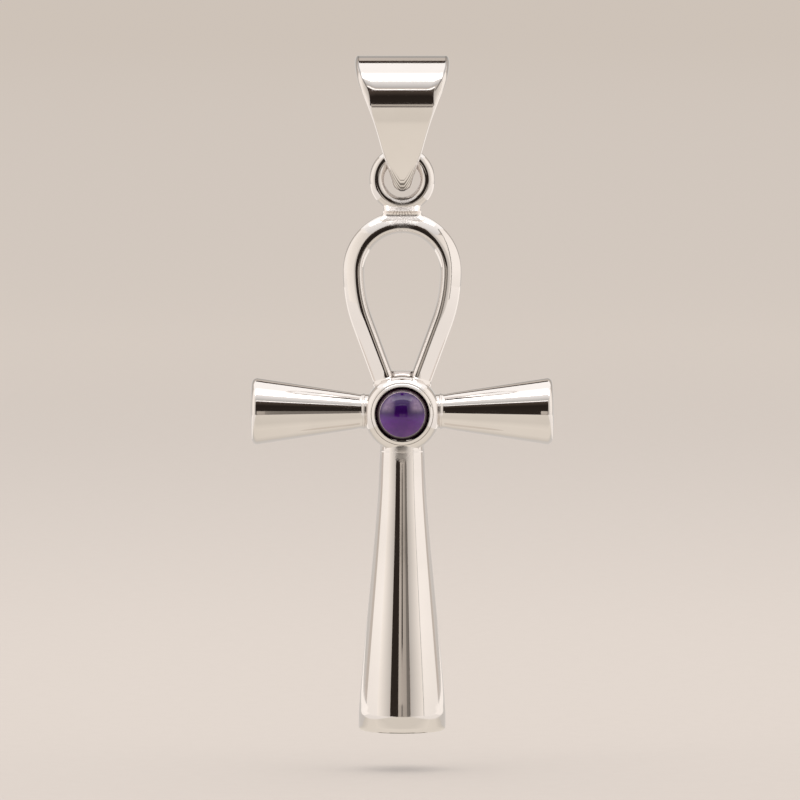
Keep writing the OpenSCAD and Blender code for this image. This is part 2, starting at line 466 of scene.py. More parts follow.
class Nodes:
    """Short ways to add and join shader nodes."""

    def __init__(self, tree: bpy.types.NodeTree) -> None:
        """Keeps the tree that the nodes go into."""
        self.tree = tree

    def add(self, kind: str, **settings: object) -> bpy.types.Node:
        """Adds a node.

        Args:
            kind: the node's type.
            settings: its own settings.

        Returns:
            The node.
        """
        node = self.tree.nodes.new(kind)
        for key, value in settings.items():
            setattr(node, key, value)
        return node

    def feed(self, target: bpy.types.NodeSocket, source: object) -> None:
        """Feeds a socket from another socket, or sets its value.

        Args:
            target: the socket.
            source: another socket, or the value.
        """
        if isinstance(source, bpy.types.NodeSocket):
            self.tree.links.new(source, target)
        else:
            target.default_value = source

    def math(self, operation: str, *inputs: object) -> bpy.types.NodeSocket:
        """Adds one step of arithmetic.

        Args:
            operation: the step.
            inputs: the sockets or numbers that go in.

        Returns:
            The result.
        """
        node = self.add("ShaderNodeMath", operation=operation)
        for socket, source in zip(node.inputs, inputs):
            self.feed(socket, source)
        return node.outputs[0]

    def plus(self, first: object, second: object) -> bpy.types.NodeSocket:
        """The sum of two values."""
        return self.math("ADD", first, second)

    def minus(self, first: object, second: object) -> bpy.types.NodeSocket:
        """One value less another."""
        return self.math("SUBTRACT", first, second)

    def times(self, first: object, second: object) -> bpy.types.NodeSocket:
        """One value times another, which for two masks is where both are."""
        return self.math("MULTIPLY", first, second)

    def distance(self, across: object, up: object) -> bpy.types.NodeSocket:
        """How far two steps at right angles reach."""
        squares = [self.math("POWER", step, 2.0) for step in (across, up)]
        return self.math("SQRT", self.plus(*squares))

    def split(self, place: object) -> bpy.types.bpy_prop_collection:
        """Takes a place apart.

        Args:
            place: the place.

        Returns:
            Its parts along X, Y and Z.
        """
        node = self.add("ShaderNodeSeparateXYZ")
        self.feed(node.inputs[0], place)
        return node.outputs

    def ramp(self, value: object, ends: Pair, unit: float = MM) -> bpy.types.NodeSocket:
        """A smooth change from nothing to one, between two ends in some unit."""
        return self.remap(value, ends[0] * unit, ends[1] * unit)

    def remap(
        self, value: object, low: object, high: object, to_low: object = 0.0, to_high: object = 1.0
    ) -> bpy.types.NodeSocket:
        """A value brought smoothly from one range to another.

        Args:
            value: what is read.
            low: where the change begins.
            high: where it ends.
            to_low: the result at and before low.
            to_high: the result at and past high.

        Returns:
            The remapped value.
        """
        node = self.add("ShaderNodeMapRange", interpolation_type="SMOOTHSTEP")
        for socket, source in zip(node.inputs[:5], (value, low, high, to_low, to_high)):
            self.feed(socket, source)
        return node.outputs[0]

    def mix(self, share: object, first: object, second: object) -> bpy.types.NodeSocket:
        """Mixes two colours.

        Args:
            share: how much of the second colour there is.
            first: the first colour.
            second: the second colour.

        Returns:
            The mixed colour.
        """
        node = self.add("ShaderNodeMix", data_type="RGBA")
        # The colours come after the sockets for numbers and places
        for number, source in ((0, share), (6, first), (7, second)):
            self.feed(node.inputs[number], source)
        return node.outputs[2]

    def noise(
        self, place: object, scale: object, detail: float = 3.0, rough: float = 0.5
    ) -> bpy.types.NodeSocket:
        """Soft noise.

        Args:
            place: where it is read.
            scale: how many waves there are to a metre.
            detail: how many finer layers it has.
            rough: how strong the finer layers are.

        Returns:
            The noise, from nothing to one.
        """
        node = self.add("ShaderNodeTexNoise")
        self.feed(node.inputs["Vector"], place)
        self.feed(node.inputs["Scale"], scale)
        self.feed(node.inputs["Detail"], detail)
        self.feed(node.inputs["Roughness"], rough)
        return node.outputs["Fac"]

    def stretched(self, place: object, scale: Triple, turn: Triple) -> bpy.types.NodeSocket:
        """A place scaled and turned, for a pattern that runs one way.

        Args:
            place: the place.
            scale: its scale along X, Y and Z.
            turn: turns about X, Y and Z in degrees.

        Returns:
            The place to read the pattern at.
        """
        node = self.add("ShaderNodeMapping")
        self.feed(node.inputs["Vector"], place)
        node.inputs["Scale"].default_value = scale
        node.inputs["Rotation"].default_value = [math.radians(angle) for angle in turn]
        return node.outputs["Vector"]

    def effect(
        self, group: bpy.types.NodeTree, place: object, values: dict[str, float] | None = None
    ) -> bpy.types.NodeSocket:
        """Places one of the shared effects.

        Args:
            group: the effect's group.
            place: where it is read.
            values: the inputs that differ from the group's own.

        Returns:
            The group's one output.
        """
        node = self.add("ShaderNodeGroup", node_tree=group)
        self.feed(node.inputs["Place"], place)
        for key, value in (values or {}).items():
            self.feed(node.inputs[key], value)
        return node.outputs[0]


def rgba(colour: Colour) -> tuple[float, float, float, float]:
    """A colour with full opacity."""
    return (*colour, 1.0)


def fresh(name: str) -> tuple[bpy.types.Material, bpy.types.Node, Nodes]:
    """Makes a material.

    Args:
        name: the material's name.

    Returns:
        The material, its shader and its nodes.
    """
    material = bpy.data.materials.new(name)
    material.use_nodes = True
    tree = material.node_tree
    return material, tree.nodes["Principled BSDF"], Nodes(tree)


class Effects:
    """Surface effects that more than one finish uses, each a node group built once."""

    # Scale and turns of the polishing lines each way, and the noise at which their patches set
    # in and are full
    LINES = (((1.0, 0.06, 0.02), (8, 0, 14)), ((0.03, 0.08, 1.0), (0, 22, 5)))
    LINE_PATCHES = (0.42, 0.66)

    # The seams in millimetres: each one's place over the tip and half its width, how far out
    # they are level, and how they rise and bend from there
    SEAMS = ((0.04, 0.030), (0.27, 0.036), (0.55, 0.040), (0.84, 0.010))
    SEAM_LEVEL = 0.14
    SEAM_RISE = 1.25
    SEAM_BEND = 0.8

    # How near the middle, in millimetres, the seams begin to widen and are widest, and by how much
    SEAM_HEAVY = (0.45, 0.12)
    SEAM_HEAVIEST = 1.9

    # Where a seam sets in and is full: in its own half widths across it, and in millimetres
    # from above and from behind
    SEAM_SOFT = (1.8, 0.5)
    SEAM_TOP = (2.1, 1.0)
    SEAM_FRONT = (0.02, -0.05)

    # Where a painted dark crease line sets in and is full, in millimetres: across it, up from its
    # end and from behind
    CREASE_SOFT = (0.085, 0.03)
    CREASE_END = (0.0, 0.1)
    CREASE_FRONT = (0.0, -0.5)

    # Dark strokes to a half turn of the fan, where on its wave a stroke sets in and is full, the
    # turn at which the fan sets in and is full, and the same for its ends in millimetres
    STROKES = 18.0
    STROKE_EDGE = (0.62, 0.22)
    STROKE_FAN = (0.66, 0.56)
    STROKE_SOFT = (0.0, 0.08)

    def __init__(self) -> None:
        """Builds the groups."""
        self.hairlines = self._hairlines()
        self.cloud = self._cloud()
        self.near = self._near()
        self.seams = self._seams()
        self.strokes = self._strokes()
        self.painted_crease_lines = self._painted_crease_lines()

    @staticmethod
    def _open(
        name: str, inputs: dict[str, float]
    ) -> tuple[Nodes, bpy.types.bpy_prop_collection]:
        """Begins a group with a place input and named value inputs.

        Args:
            name: the group's name.
            inputs: the value inputs and their first values.

        Returns:
            The group's nodes, and its inputs as sockets to read.
        """
        group = bpy.data.node_groups.new(name, "ShaderNodeTree")
        group.interface.new_socket("Place", in_out="INPUT", socket_type="NodeSocketVector")
        for key, value in inputs.items():
            socket = group.interface.new_socket(key, in_out="INPUT", socket_type="NodeSocketFloat")
            socket.default_value = value
        nodes = Nodes(group)
        return nodes, nodes.add("NodeGroupInput").outputs

    @staticmethod
    def _close(nodes: Nodes, output: str, value: bpy.types.NodeSocket) -> bpy.types.NodeTree:
        """Ends a group with its one output.

        Args:
            nodes: the group's nodes.
            output: the output's name.
            value: what it gives.

        Returns:
            The group.
        """
        group = nodes.tree
        group.interface.new_socket(output, in_out="OUTPUT", socket_type="NodeSocketFloat")
        nodes.feed(nodes.add("NodeGroupOutput").inputs[output], value)
        return group

    @classmethod
    def _hairlines(cls) -> bpy.types.NodeTree:
        """Fine lines that polishing leaves, crossing in two directions.

        Returns:
            The group, whose density is in lines to a metre.
        """
        nodes, source = cls._open("hairlines", {"Density": 900.0})
        ways = [nodes.stretched(source["Place"], *way) for way in cls.LINES]
        lines = nodes.times(*(nodes.noise(way, source["Density"], 4.0, 0.6) for way in ways))
        patches = nodes.remap(nodes.noise(source["Place"], 260.0, 2.0), *cls.LINE_PATCHES)
        faded = nodes.times(lines, patches)
        return cls._close(nodes, "Height", faded)

    @classmethod
    def _cloud(cls) -> bpy.types.NodeTree:
        """Broad soft patches, such as breath and handling leave.

        Returns:
            The group, whose size is in patches to a metre.
        """
        nodes, source = cls._open("cloud", {"Size": 120.0, "Low": 0.35, "High": 0.7})
        patches = nodes.noise(source["Place"], source["Size"], 4.0, 0.55)
        mask = nodes.remap(patches, source["Low"], source["High"])
        return cls._close(nodes, "Mask", mask)

    @classmethod
    def _seams(cls) -> bpy.types.NodeTree:
        """Nested fine seams that follow a rounded tip, on its front side.

        Returns:
            The group, whose tip is a height in metres.
        """
        nodes, source = cls._open("seams", {"Tip": 0.0})
        split = nodes.split(source["Place"])
        up = nodes.minus(split["Z"], source["Tip"])
        side = nodes.math("ABSOLUTE", split["X"])
        out = nodes.math("MAXIMUM", nodes.minus(side, cls.SEAM_LEVEL * MM), 0.0)
        bent = nodes.times(nodes.math("POWER", out, 2.0), -cls.SEAM_BEND / MM)
        straight = nodes.times(out, -cls.SEAM_RISE)
        level = nodes.plus(up, nodes.plus(bent, straight))
        faint, full = cls.SEAM_HEAVY
        heavy = nodes.remap(side, faint * MM, full * MM, 1.0, cls.SEAM_HEAVIEST)
        mask: object = 0.0
        for place, width in cls.SEAMS:
            off = nodes.math("ABSOLUTE", nodes.minus(level, place * MM))
            off = nodes.math("DIVIDE", off, heavy)
            mask = nodes.math("MAXIMUM", mask, nodes.ramp(off, cls.SEAM_SOFT, width * MM))
        low = nodes.ramp(up, cls.SEAM_TOP)
        front = nodes.ramp(split["Y"], cls.SEAM_FRONT)
        mask = nodes.times(mask, nodes.times(low, front))
        return cls._close(nodes, "Mask", mask)

    @classmethod
    def _painted_crease_lines(cls) -> bpy.types.NodeTree:
        """A painted dark line on the front of each side, standing in for the dark reflection where
        the flat face meets the rounded edge; it bends inwards with the distance down.

        Returns:
            The group, in metres.
        """
        inputs = {"Wide": 0.003, "Fall": 0.2, "Bend": 100.0, "Low": 0.002}
        nodes, source = cls._open("painted_crease_lines", inputs)
        split = nodes.split(source["Place"])
        down = nodes.math("MAXIMUM", nodes.times(split["Z"], -1.0), 0.0)
        bent = nodes.times(nodes.math("POWER", down, 2.0), source["Bend"])
        fall = nodes.plus(nodes.times(down, source["Fall"]), bent)
        wide = nodes.minus(source["Wide"], fall)
        side = nodes.math("ABSOLUTE", split["X"])
        off = nodes.math("ABSOLUTE", nodes.minus(side, wide))
        line = nodes.ramp(off, cls.CREASE_SOFT)
        above = nodes.ramp(nodes.minus(source["Low"], down), cls.CREASE_END)
        front = nodes.ramp(split["Y"], cls.CREASE_FRONT)
        mask = nodes.times(line, nodes.times(above, front))
        return cls._close(nodes, "Mask", mask)

    @classmethod
    def _strokes(cls) -> bpy.types.NodeTree:
        """Short strokes that fan out downwards from a point, between two distances from it.

        Returns:
            The group, in metres.
        """
        inputs = {"Z": 0.0, "Inner": 0.00096, "Outer": 0.00142}
        nodes, source = cls._open("strokes", inputs)
        split = nodes.split(source["Place"])
        down = nodes.minus(source["Z"], split["Z"])
        turn = nodes.math("ARCTAN2", split["X"], down)
        wave = nodes.math("SINE", nodes.times(turn, cls.STROKES))
        line = nodes.remap(nodes.math("ABSOLUTE", wave), *cls.STROKE_EDGE)
        inside = nodes.remap(nodes.math("ABSOLUTE", turn), *cls.STROKE_FAN)
        away = nodes.distance(split["X"], down)
        start = nodes.ramp(nodes.minus(away, source["Inner"]), cls.STROKE_SOFT)
        stop = nodes.ramp(nodes.minus(source["Outer"], away), cls.STROKE_SOFT)
        band = nodes.times(start, stop)
        mask = nodes.times(line, nodes.times(inside, band))
        return cls._close(nodes, "Mask", mask)

    @classmethod
    def _near(cls) -> bpy.types.NodeTree:
        """How near a place is to the group's point, one at it and nothing past its reach.

        Returns:
            The group, in metres.
        """
        inputs = {"X": 0.0, "Y": 0.0, "Z": 0.0, "Inner": 0.0, "Outer": 0.001}
        nodes, source = cls._open("near", inputs)
        point = nodes.add("ShaderNodeCombineXYZ")
        for axis in "XYZ":
            nodes.feed(point.inputs[axis], source[axis])
        away = nodes.add("ShaderNodeVectorMath", operation="DISTANCE")
        nodes.feed(away.inputs[0], source["Place"])
        nodes.feed(away.inputs[1], point.outputs[0])
        mask = nodes.remap(away.outputs["Value"], source["Outer"], source["Inner"])
        return cls._close(nodes, "Mask", mask)


@dataclass(frozen=True)
class SilverFinish:
    """Mirror-polished silver with faint polishing lines and handling haze."""

    tint: Colour = (0.84, 0.805, 0.79)
    haze_tint: Colour = (0.80, 0.765, 0.745)
    solder_tint: Colour = (0.76, 0.72, 0.69)
    # Dark tint of the real seams, and of the painted dark lines along the bail's rounded edges
    seam_and_painted_line_tint: Colour = (0.10, 0.085, 0.075)
    stroke_tint: Colour = (0.20, 0.17, 0.15)
    polish: float = 0.035
    haze: float = 0.085
    solder_rough: float = 0.34
    line_depth: float = 0.05
    solder_depth: float = 2.2
    seam_depth: float = 3.0
    solder_share: float = 0.5
    seam_share: float = 0.85
    painted_crease_share: float = 0.6
    stroke_share: float = 0.55
    relief: float = 0.12
    relief_reach: float = 0.02

    # Beads to a metre in the solder, and where their trace begins and is full
    BEADS = 2600.0
    BEAD_EDGE = (0.4, 0.62)

    # Share of a joint's reach within which its solder is full
    SOLDER_CORE = 0.35

    # Half width at the top, its fall and bend with the distance down, and where the line ends, for
    # the painted dark line along the bail's rounded edges
    CREASE = {"Wide": 3.23 * MM, "Fall": 0.22, "Bend": 0.13 / MM, "Low": 1.86 * MM}

    @staticmethod
    def _marked(
        nodes: Nodes, colour: object, mask: object, share: float, tint: Colour
    ) -> bpy.types.NodeSocket:
        """Tints the finish where a mask is.

        Args:
            nodes: the material's nodes.
            colour: the colour so far.
            mask: where the mark is.
            share: how much of its tint it takes.
            tint: the mark's colour.

        Returns:
            The colour with the mark.
        """
        return nodes.mix(nodes.times(mask, share), colour, rgba(tint))

    @staticmethod
    def _raised(nodes: Nodes, height: object, mask: object, rise: float) -> bpy.types.NodeSocket:
        """The height with a mask's share of a rise added."""
        return nodes.plus(height, nodes.times(mask, rise))

    def material(
        self,
        name: str,
        effects: Effects,
        solder: Sequence[tuple[Triple, float]] = (),
        tip: float | None = None,
        fan: float | None = None,
    ) -> bpy.types.Material:
        """Makes the finish for one piece.

        Args:
            name: the material's name.
            effects: the shared node groups.
            solder: joints that keep a trace of solder, each a place and a reach in millimetres.
            tip: the height of a folded tip that keeps the seams of its leaves, in millimetres; with
                it come the painted dark lines along the rounded edges.
            fan: the height that strokes in the solder fan out from, in millimetres.

        Returns:
            The material.
        """
        material, shader, nodes = fresh(name)
        place = nodes.add("ShaderNodeTexCoord").outputs["Object"]
        lines = nodes.effect(effects.hairlines, place)
        cloud = nodes.effect(effects.cloud, place)
        colour = nodes.mix(cloud, rgba(self.tint), rgba(self.haze_tint))
        rough = nodes.remap(cloud, 0.0, 1.0, self.polish, self.haze)
        height = nodes.times(lines, self.line_depth)
        for (x, y, z), reach in solder:
            values = {"X": x * MM, "Y": y * MM, "Z": z * MM}
            values |= {"Inner": self.SOLDER_CORE * reach * MM, "Outer": reach * MM}
            near = nodes.effect(effects.near, place, values)
            beads = nodes.remap(nodes.noise(place, self.BEADS, 3.0, 0.6), *self.BEAD_EDGE)
            trace = nodes.times(near, beads)
            colour = self._marked(nodes, colour, trace, self.solder_share, self.solder_tint)
            dull = nodes.times(near, self.solder_rough)
            rough = nodes.math("MAXIMUM", rough, dull)
            height = self._raised(nodes, height, trace, self.solder_depth)
        if tip is not None:
            seams = nodes.effect(effects.seams, place, {"Tip": tip * MM})
            height = self._raised(nodes, height, seams, -self.seam_depth)
            colour = self._marked(nodes, colour, seams, self.seam_share, self.seam_and_painted_line_tint)
            # Painted reflection: a dark line where the flat front meets each rounded edge
            painted_crease_lines = nodes.effect(effects.painted_crease_lines, place, self.CREASE)
            colour = self._marked(nodes, colour, painted_crease_lines, self.painted_crease_share, self.seam_and_painted_line_tint)
        if fan is not None:
            strokes = nodes.effect(effects.strokes, place, {"Z": fan * MM})
            height = self._raised(nodes, height, strokes, -self.seam_depth)
            colour = self._marked(nodes, colour, strokes, self.stroke_share, self.stroke_tint)
        bump = nodes.add("ShaderNodeBump")
        bump.inputs["Strength"].default_value = self.relief
        bump.inputs["Distance"].default_value = self.relief_reach * MM
        nodes.feed(bump.inputs["Height"], height)
        nodes.feed(shader.inputs["Base Color"], colour)
        nodes.feed(shader.inputs["Roughness"], rough)
        nodes.feed(shader.inputs["Normal"], bump.outputs["Normal"])
        shader.inputs["Metallic"].default_value = 1.0
        return material


@dataclass(frozen=True)
class StoneFinish:
    """Deep violet quartz, polished, with faint cloud-like patches and with painted light: a painted
    darker top, a painted glow in its lower half, two painted reflections of the side lights, a
    painted shadow round its rim and a painted fine reflection line.
    """

    # Painted shade: the top of the stone is painted darker than the body colour below it
    painted_dark_top: Colour = (0.018, 0.002, 0.052)
    body: Colour = (0.078, 0.009, 0.178)
    # Painted reflections of the side lights, as two paler windows
    painted_window_light: Colour = (0.185, 0.130, 0.21)
    # Painted light: a glow in the stone's lower half
    glow: Colour = (0.14, 0.022, 0.24)
    # Painted shadow round the stone's edge in the gap under the bezel, and a painted fine
    # reflection line in it
    rim: Colour = (0.014, 0.006, 0.010)
    line: Colour = (0.22, 0.17, 0.20)
    refraction: float = 1.54
    rough: float = 0.03
    coat: float = 0.15
    coat_rough: float = 0.02

    # Patches to a metre in the painted glow and windows
    PATCHES = 900.0

    # Heights over the stone's middle in millimetres, between which the painted dark top gives way
    # to the body colour and the painted glow of its lower half sets in
    BODY = (0.3, -0.5)
    GLOW = (-0.2, -1.5)

    # The two paler windows, painted reflections of the side lights, in millimetres: out to the
    # side, up from the middle, down from the top and in from the edge. Their faintest patches keep
    # this share.
    WINDOW_SIDE = (0.42, 1.0)
    WINDOW_LOW = (0.05, 0.6)
    WINDOW_TOP = (1.6, 1.1)
    WINDOW_EDGE = (1.66, 1.45)
    FAINTEST = 0.5

    # Shares of the stone's radius, between which lie its dark rim, a painted shadow under the
    # bezel, and the fine line in it, a painted reflection
    RIM = (0.825, 0.85)
    LINE_INSIDE = (0.825, 0.835)
    LINE_OUTSIDE = (0.855, 0.845)

    def material(self, name: str, effects: Effects, layout: Layout) -> bpy.types.Material:
        """Makes the finish.

        Args:
            name: the material's name.
            effects: the shared node groups.
            layout: the pendant's main places.

        Returns:
            The material.
        """
        material, shader, nodes = fresh(name)
        place = nodes.add("ShaderNodeTexCoord").outputs["Object"]
        split = nodes.split(place)
        up = nodes.minus(split["Z"], layout.hub * MM)
        away = nodes.distance(split["X"], up)
        cloud = nodes.effect(effects.cloud, place, {"Size": self.PATCHES})
        # Painted shade: darker at the top; painted light: a glow in the lower half, in cloud-like
        # patches
        colour = nodes.mix(nodes.ramp(up, self.BODY), rgba(self.painted_dark_top), rgba(self.body))
        colour = nodes.mix(nodes.times(nodes.ramp(up, self.GLOW), cloud), colour, rgba(self.glow))
        # Painted reflections: two paler windows where the side lights would show
        side = nodes.math("ABSOLUTE", split["X"])
        level = nodes.times(nodes.ramp(up, self.WINDOW_LOW), nodes.ramp(up, self.WINDOW_TOP))
        pale = nodes.times(nodes.ramp(side, self.WINDOW_SIDE), level)
        pale = nodes.times(pale, nodes.ramp(away, self.WINDOW_EDGE))
        pale = nodes.times(pale, nodes.remap(cloud, 0.0, 1.0, self.FAINTEST, 1.0))
        colour = nodes.mix(pale, colour, rgba(self.painted_window_light))
        radius = layout.stone_r * MM
        # Painted shadow round the edge, and a painted fine reflection line inside it
        colour = nodes.mix(nodes.ramp(away, self.RIM, radius), colour, rgba(self.rim))
        inside = nodes.ramp(away, self.LINE_INSIDE, radius)
        outside = nodes.ramp(away, self.LINE_OUTSIDE, radius)
        colour = nodes.mix(nodes.times(inside, outside), colour, rgba(self.line))
        nodes.feed(shader.inputs["Base Color"], colour)
        shader.inputs["Roughness"].default_value = self.rough
        shader.inputs["IOR"].default_value = self.refraction
        shader.inputs["Coat Weight"].default_value = self.coat
        shader.inputs["Coat Roughness"].default_value = self.coat_rough
        return material


def dress(
    piece: bpy.types.Object,
    material: bpy.types.Material,
    body: Body,
    node: str,
) -> None:
    """Gives a finished piece its material and its body, and hides the solid that it stands for.

    Args:
        piece: the piece in its place.
        material: its finish.
        body: the body that it moves with.
        node: the solid that it stands for.
    """
    piece.data.materials.clear()
    piece.data.materials.append(material)
    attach(piece, body.value)
    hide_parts(node)
    LOG.info("%s: %d faces", piece.name, len(piece.data.polygons))


@dataclass
class Bail:
    """The folded sheet that a chain runs through, narrowing to a soldered tip."""

    layout: Layout
    sheet: float = 0.7
    top_r: float = 6.1
    side_r: float = 2.85
    floor_r: float = 1.0
    floor_half_width: float = 1.04
    tip_side_r: float = 0.45
    tip_front_r: float = 0.8
    outer_round: float = 0.4
    inner_round: float = 0.14
    round_steps: int = 8
    run_steps: int = 6
    flat_margin: float = 0.03
    least_width: float = 0.05
    seen_drop: float = 0.052
    seen_share: float = 0.35
    widest_edge: float = 0.8
    joint: float = 0.45
    tip_rise: Pair = (0.1, 0.02)
    top_steps: int = 12
    side_steps: int = 52
    floor_steps: int = 14
    leaf_steps: int = 26
    joint_steps: int = 10
    tip_steps: int = 12

    # Share of the sheet's thickness past which an edge counts as going through it
    THROUGH = 0.9

    # How far down from the top to the floor, and how much of the narrowing is left
    WIDTHS = (
        (0.00, 1.00), (0.06, 1.00), (0.13, 0.97), (0.21, 0.915), (0.30, 0.82), (0.36, 0.745),
        (0.43, 0.66), (0.50, 0.57), (0.60, 0.445), (0.72, 0.315), (0.84, 0.195), (1.00, 0.00),
    )  # fmt: skip

    # How far down, and the width of the rounded edge as seen from the front
    EDGES = (
        (0.00, 0.24), (0.07, 0.32), (0.17, 0.50), (0.23, 0.70), (0.28, 0.98), (0.32, 1.12),
        (0.36, 0.92), (0.43, 0.46), (0.50, 0.32), (1.00, 0.28),
    )  # fmt: skip

    def __post_init__(self) -> None:
        """Works out the centres of the bends."""
        lay = self.layout
        self.top_centre = lay.bail_top - self.top_r
        self.side_y = lay.bail_half_depth - self.side_r
        self.side_z = self.top_centre + math.sqrt((self.top_r - self.side_r) ** 2 - self.side_y**2)
        self.shoulder = math.degrees(math.atan2(self.side_z - self.top_centre, self.side_y))
        self.tip_z = lay.bail_tip + self.tip_side_r
        drop = self.side_z - self.tip_z
        slant = math.atan2(self.side_y, drop)
        slant += math.asin((self.side_r - self.tip_side_r) / math.hypot(self.side_y, drop))
        self.lean = math.degrees(slant)
        self.floor_centre = self.tip_z
        self.floor_centre += (self.floor_r + self.sheet - self.tip_side_r) / math.sin(slant)
        self.floor_z = self.floor_centre - self.floor_r
        self.widths = smooth_run(self.WIDTHS, self.run_steps)
        self.edges = smooth_run(self.EDGES, self.run_steps)

    def half_width(self, height: float) -> float:
        """Half the bail's width, as seen from the front.

        Args:
            height: where it is read.

        Returns:
            The half width there.
        """
        lay = self.layout
        if height > self.floor_z:
            down = (lay.bail_top - height) / (lay.bail_top - self.floor_z)
            more = lay.bail_half_width - self.floor_half_width
            return self.floor_half_width + value_at(self.widths, down) * more
        tip = lay.bail_tip + self.tip_front_r
        reach = math.hypot(self.floor_half_width, self.floor_z - tip)
        turn = math.atan2(self.floor_z - tip, self.floor_half_width)
        turn -= math.acos(self.tip_front_r / reach)
        touch = (self.tip_front_r * math.cos(turn), tip + self.tip_front_r * math.sin(turn))
        if height > touch[1]:
            share = (height - touch[1]) / (self.floor_z - touch[1])
            return touch[0] + share * (self.floor_half_width - touch[0])
        left = max(self.tip_front_r**2 - (height - tip) ** 2, 0.0)
        return max(math.sqrt(left), self.least_width)

    def edge_width(self, height: float) -> float:
        """Width of the rounded edge, as seen from the front.

        Args:
            height: where it is read.

        Returns:
            The edge's width there.
        """
        lay = self.layout
        down = (lay.bail_top - height) / (lay.bail_top - self.floor_z)
        return min(value_at(self.edges, down), self.widest_edge * self.half_width(height))

    def rows(self) -> list[tuple[Pair, Pair]]:
        """Sets out the rows of the front half, from the top down.

        Returns:
            Outer and inner point of each row, as depth and height.
        """
        rows = []
        bends = (
            (0.0, self.top_centre, self.top_r, 90.0, self.shoulder, self.top_steps),
            (self.side_y, self.side_z, self.side_r, self.shoulder, -self.lean, self.side_steps),
        )
        for depth, height, radius, start, stop, steps in bends:
            outer = arc((depth, height), (radius, radius), start, stop, steps)
            inner_r = radius - self.sheet
            inner = arc((depth, height), (inner_r, inner_r), start, stop, steps)
            rows += list(zip(outer, inner))[1 if rows else 0 :]
        floor = self._end(self.floor_centre, self.floor_r, self.floor_steps)
        tip = self._end(self.tip_z, self.tip_side_r, self.tip_steps)
        slant = math.radians(self.lean)
        leaf_end = (
            floor[0][0] + self.sheet * math.cos(slant),
            floor[0][1] - self.sheet * math.sin(slant),
        )
        joined = (
            leaf_end[0] + (tip[0][0] - leaf_end[0]) * self.joint,
            leaf_end[1] + (tip[0][1] - leaf_end[1]) * self.joint,
        )
        under, over = self.tip_rise
        low = (0.0, self.tip_z - under)
        rows += self._between(rows[-1], (leaf_end, floor[0]), self.leaf_steps)
        outer = [row[0] for row in self._between((leaf_end, low), (joined, low), self.floor_steps)]
        rows += list(zip(outer, floor[1:]))
        rows += self._between(rows[-1], (tip[0], low), self.joint_steps)
        end = (low, (0.0, tip[-1][1] + over))
        inner = [row[1] for row in self._between((low, low), end, len(tip) - 1)]
        return rows + list(zip(tip[1:], inner))

    def _end(self, height: float, radius: float, steps: int) -> list[Pair]:
        """The bend from the leaf to the middle below, round a place on the bail's upright."""
        return arc((0.0, height), (radius, radius), -self.lean, -90, steps)

    @staticmethod
    def _between(first: tuple[Pair, Pair], last: tuple[Pair, Pair], steps: int) -> list:
        """Sets rows evenly from one row to another.

        Args:
            first: the row to start from, which is left out.
            last: the row to end with.
            steps: how many rows there are.

        Returns:
            The rows.
        """
        rows = []
        for step in range(1, steps + 1):
            share = step / steps
            points = [
                tuple(a + share * (b - a) for a, b in zip(start, stop))
                for start, stop in zip(first, last)
            ]
            rows.append((points[0], points[1]))
        return rows

    def _section(self) -> bpy.types.Object:
        """Draws half of the sheet's section at the top.

        Returns:
            An open line from the middle round the edge, in edit mode.
        """
        lay = self.layout
        half = lay.bail_half_width
        Bench.clear()
        bpy.ops.mesh.primitive_plane_add(
            size=1, rotation=(math.pi / 2, 0, 0), location=(0.5, 0, 0.5)
        )
        piece = Bench.named("bail_sheet")
        Bench.edit(piece)
        bpy.ops.transform.resize(value=(half, 1, self.sheet), center_override=(0, 0, 0))
        bpy.ops.transform.translate(value=(0, 0, lay.bail_top - self.sheet))
        middle = lay.bail_top - self.sheet / 2
        below = lay.bail_top - self.sheet + TOUCH
        Bench.pick(piece, lambda co: co.x > half - TOUCH and co.z > middle)
        bpy.ops.mesh.bevel(offset=self.outer_round, segments=self.round_steps, affect="VERTICES")
        Bench.pick(piece, lambda co: co.x > half - TOUCH and co.z < below)
        bpy.ops.mesh.bevel(offset=self.inner_round, segments=self.round_steps, affect="VERTICES")
        bpy.ops.mesh.select_all(action="SELECT")
        bpy.ops.mesh.bisect(
            plane_co=(half - self.outer_round - self.flat_margin, 0, 0), plane_no=(1, 0, 0)
        )
        bpy.ops.mesh.select_all(action="SELECT")
        bpy.ops.mesh.delete(type="ONLY_FACE")
        mesh = bmesh.from_edit_mesh(piece.data)
        for edge in mesh.edges:
            low, high = (vertex.co for vertex in edge.verts)
            upright = abs(low.x - high.x) < TOUCH
            edge.select = upright and abs(low.z - high.z) > self.THROUGH * self.sheet
        bmesh.update_edit_mesh(piece.data)
        bpy.ops.mesh.delete(type="EDGE")
        return piece

    def _fit(self, piece: bpy.types.Object, row: list[int], before: Pair, after: Pair) -> None:
        """Brings the row that was just added to the bail's width and edge at its height.

        Args:
            piece: the piece being edited.
            row: the row's vertices.
            before: half width and edge width of the row above.
            after: half width and edge width of this row.
        """
        if abs(after[0] - before[0]) > LEAST_MOVE:
            Bench.pick(piece, lambda co: co.x > TOUCH, row)
            bpy.ops.transform.translate(value=(after[0] - before[0], 0, 0))
        if abs(after[1] - before[1]) > LEAST_MOVE:
            Bench.pick(piece, lambda co: co.x > after[0] - before[1] - TOUCH, row)
            bpy.ops.transform.resize(
                value=(after[1] / before[1], 1, 1), center_override=(after[0], 0, 0)
            )
        Bench.pick(piece, lambda co: True, row)

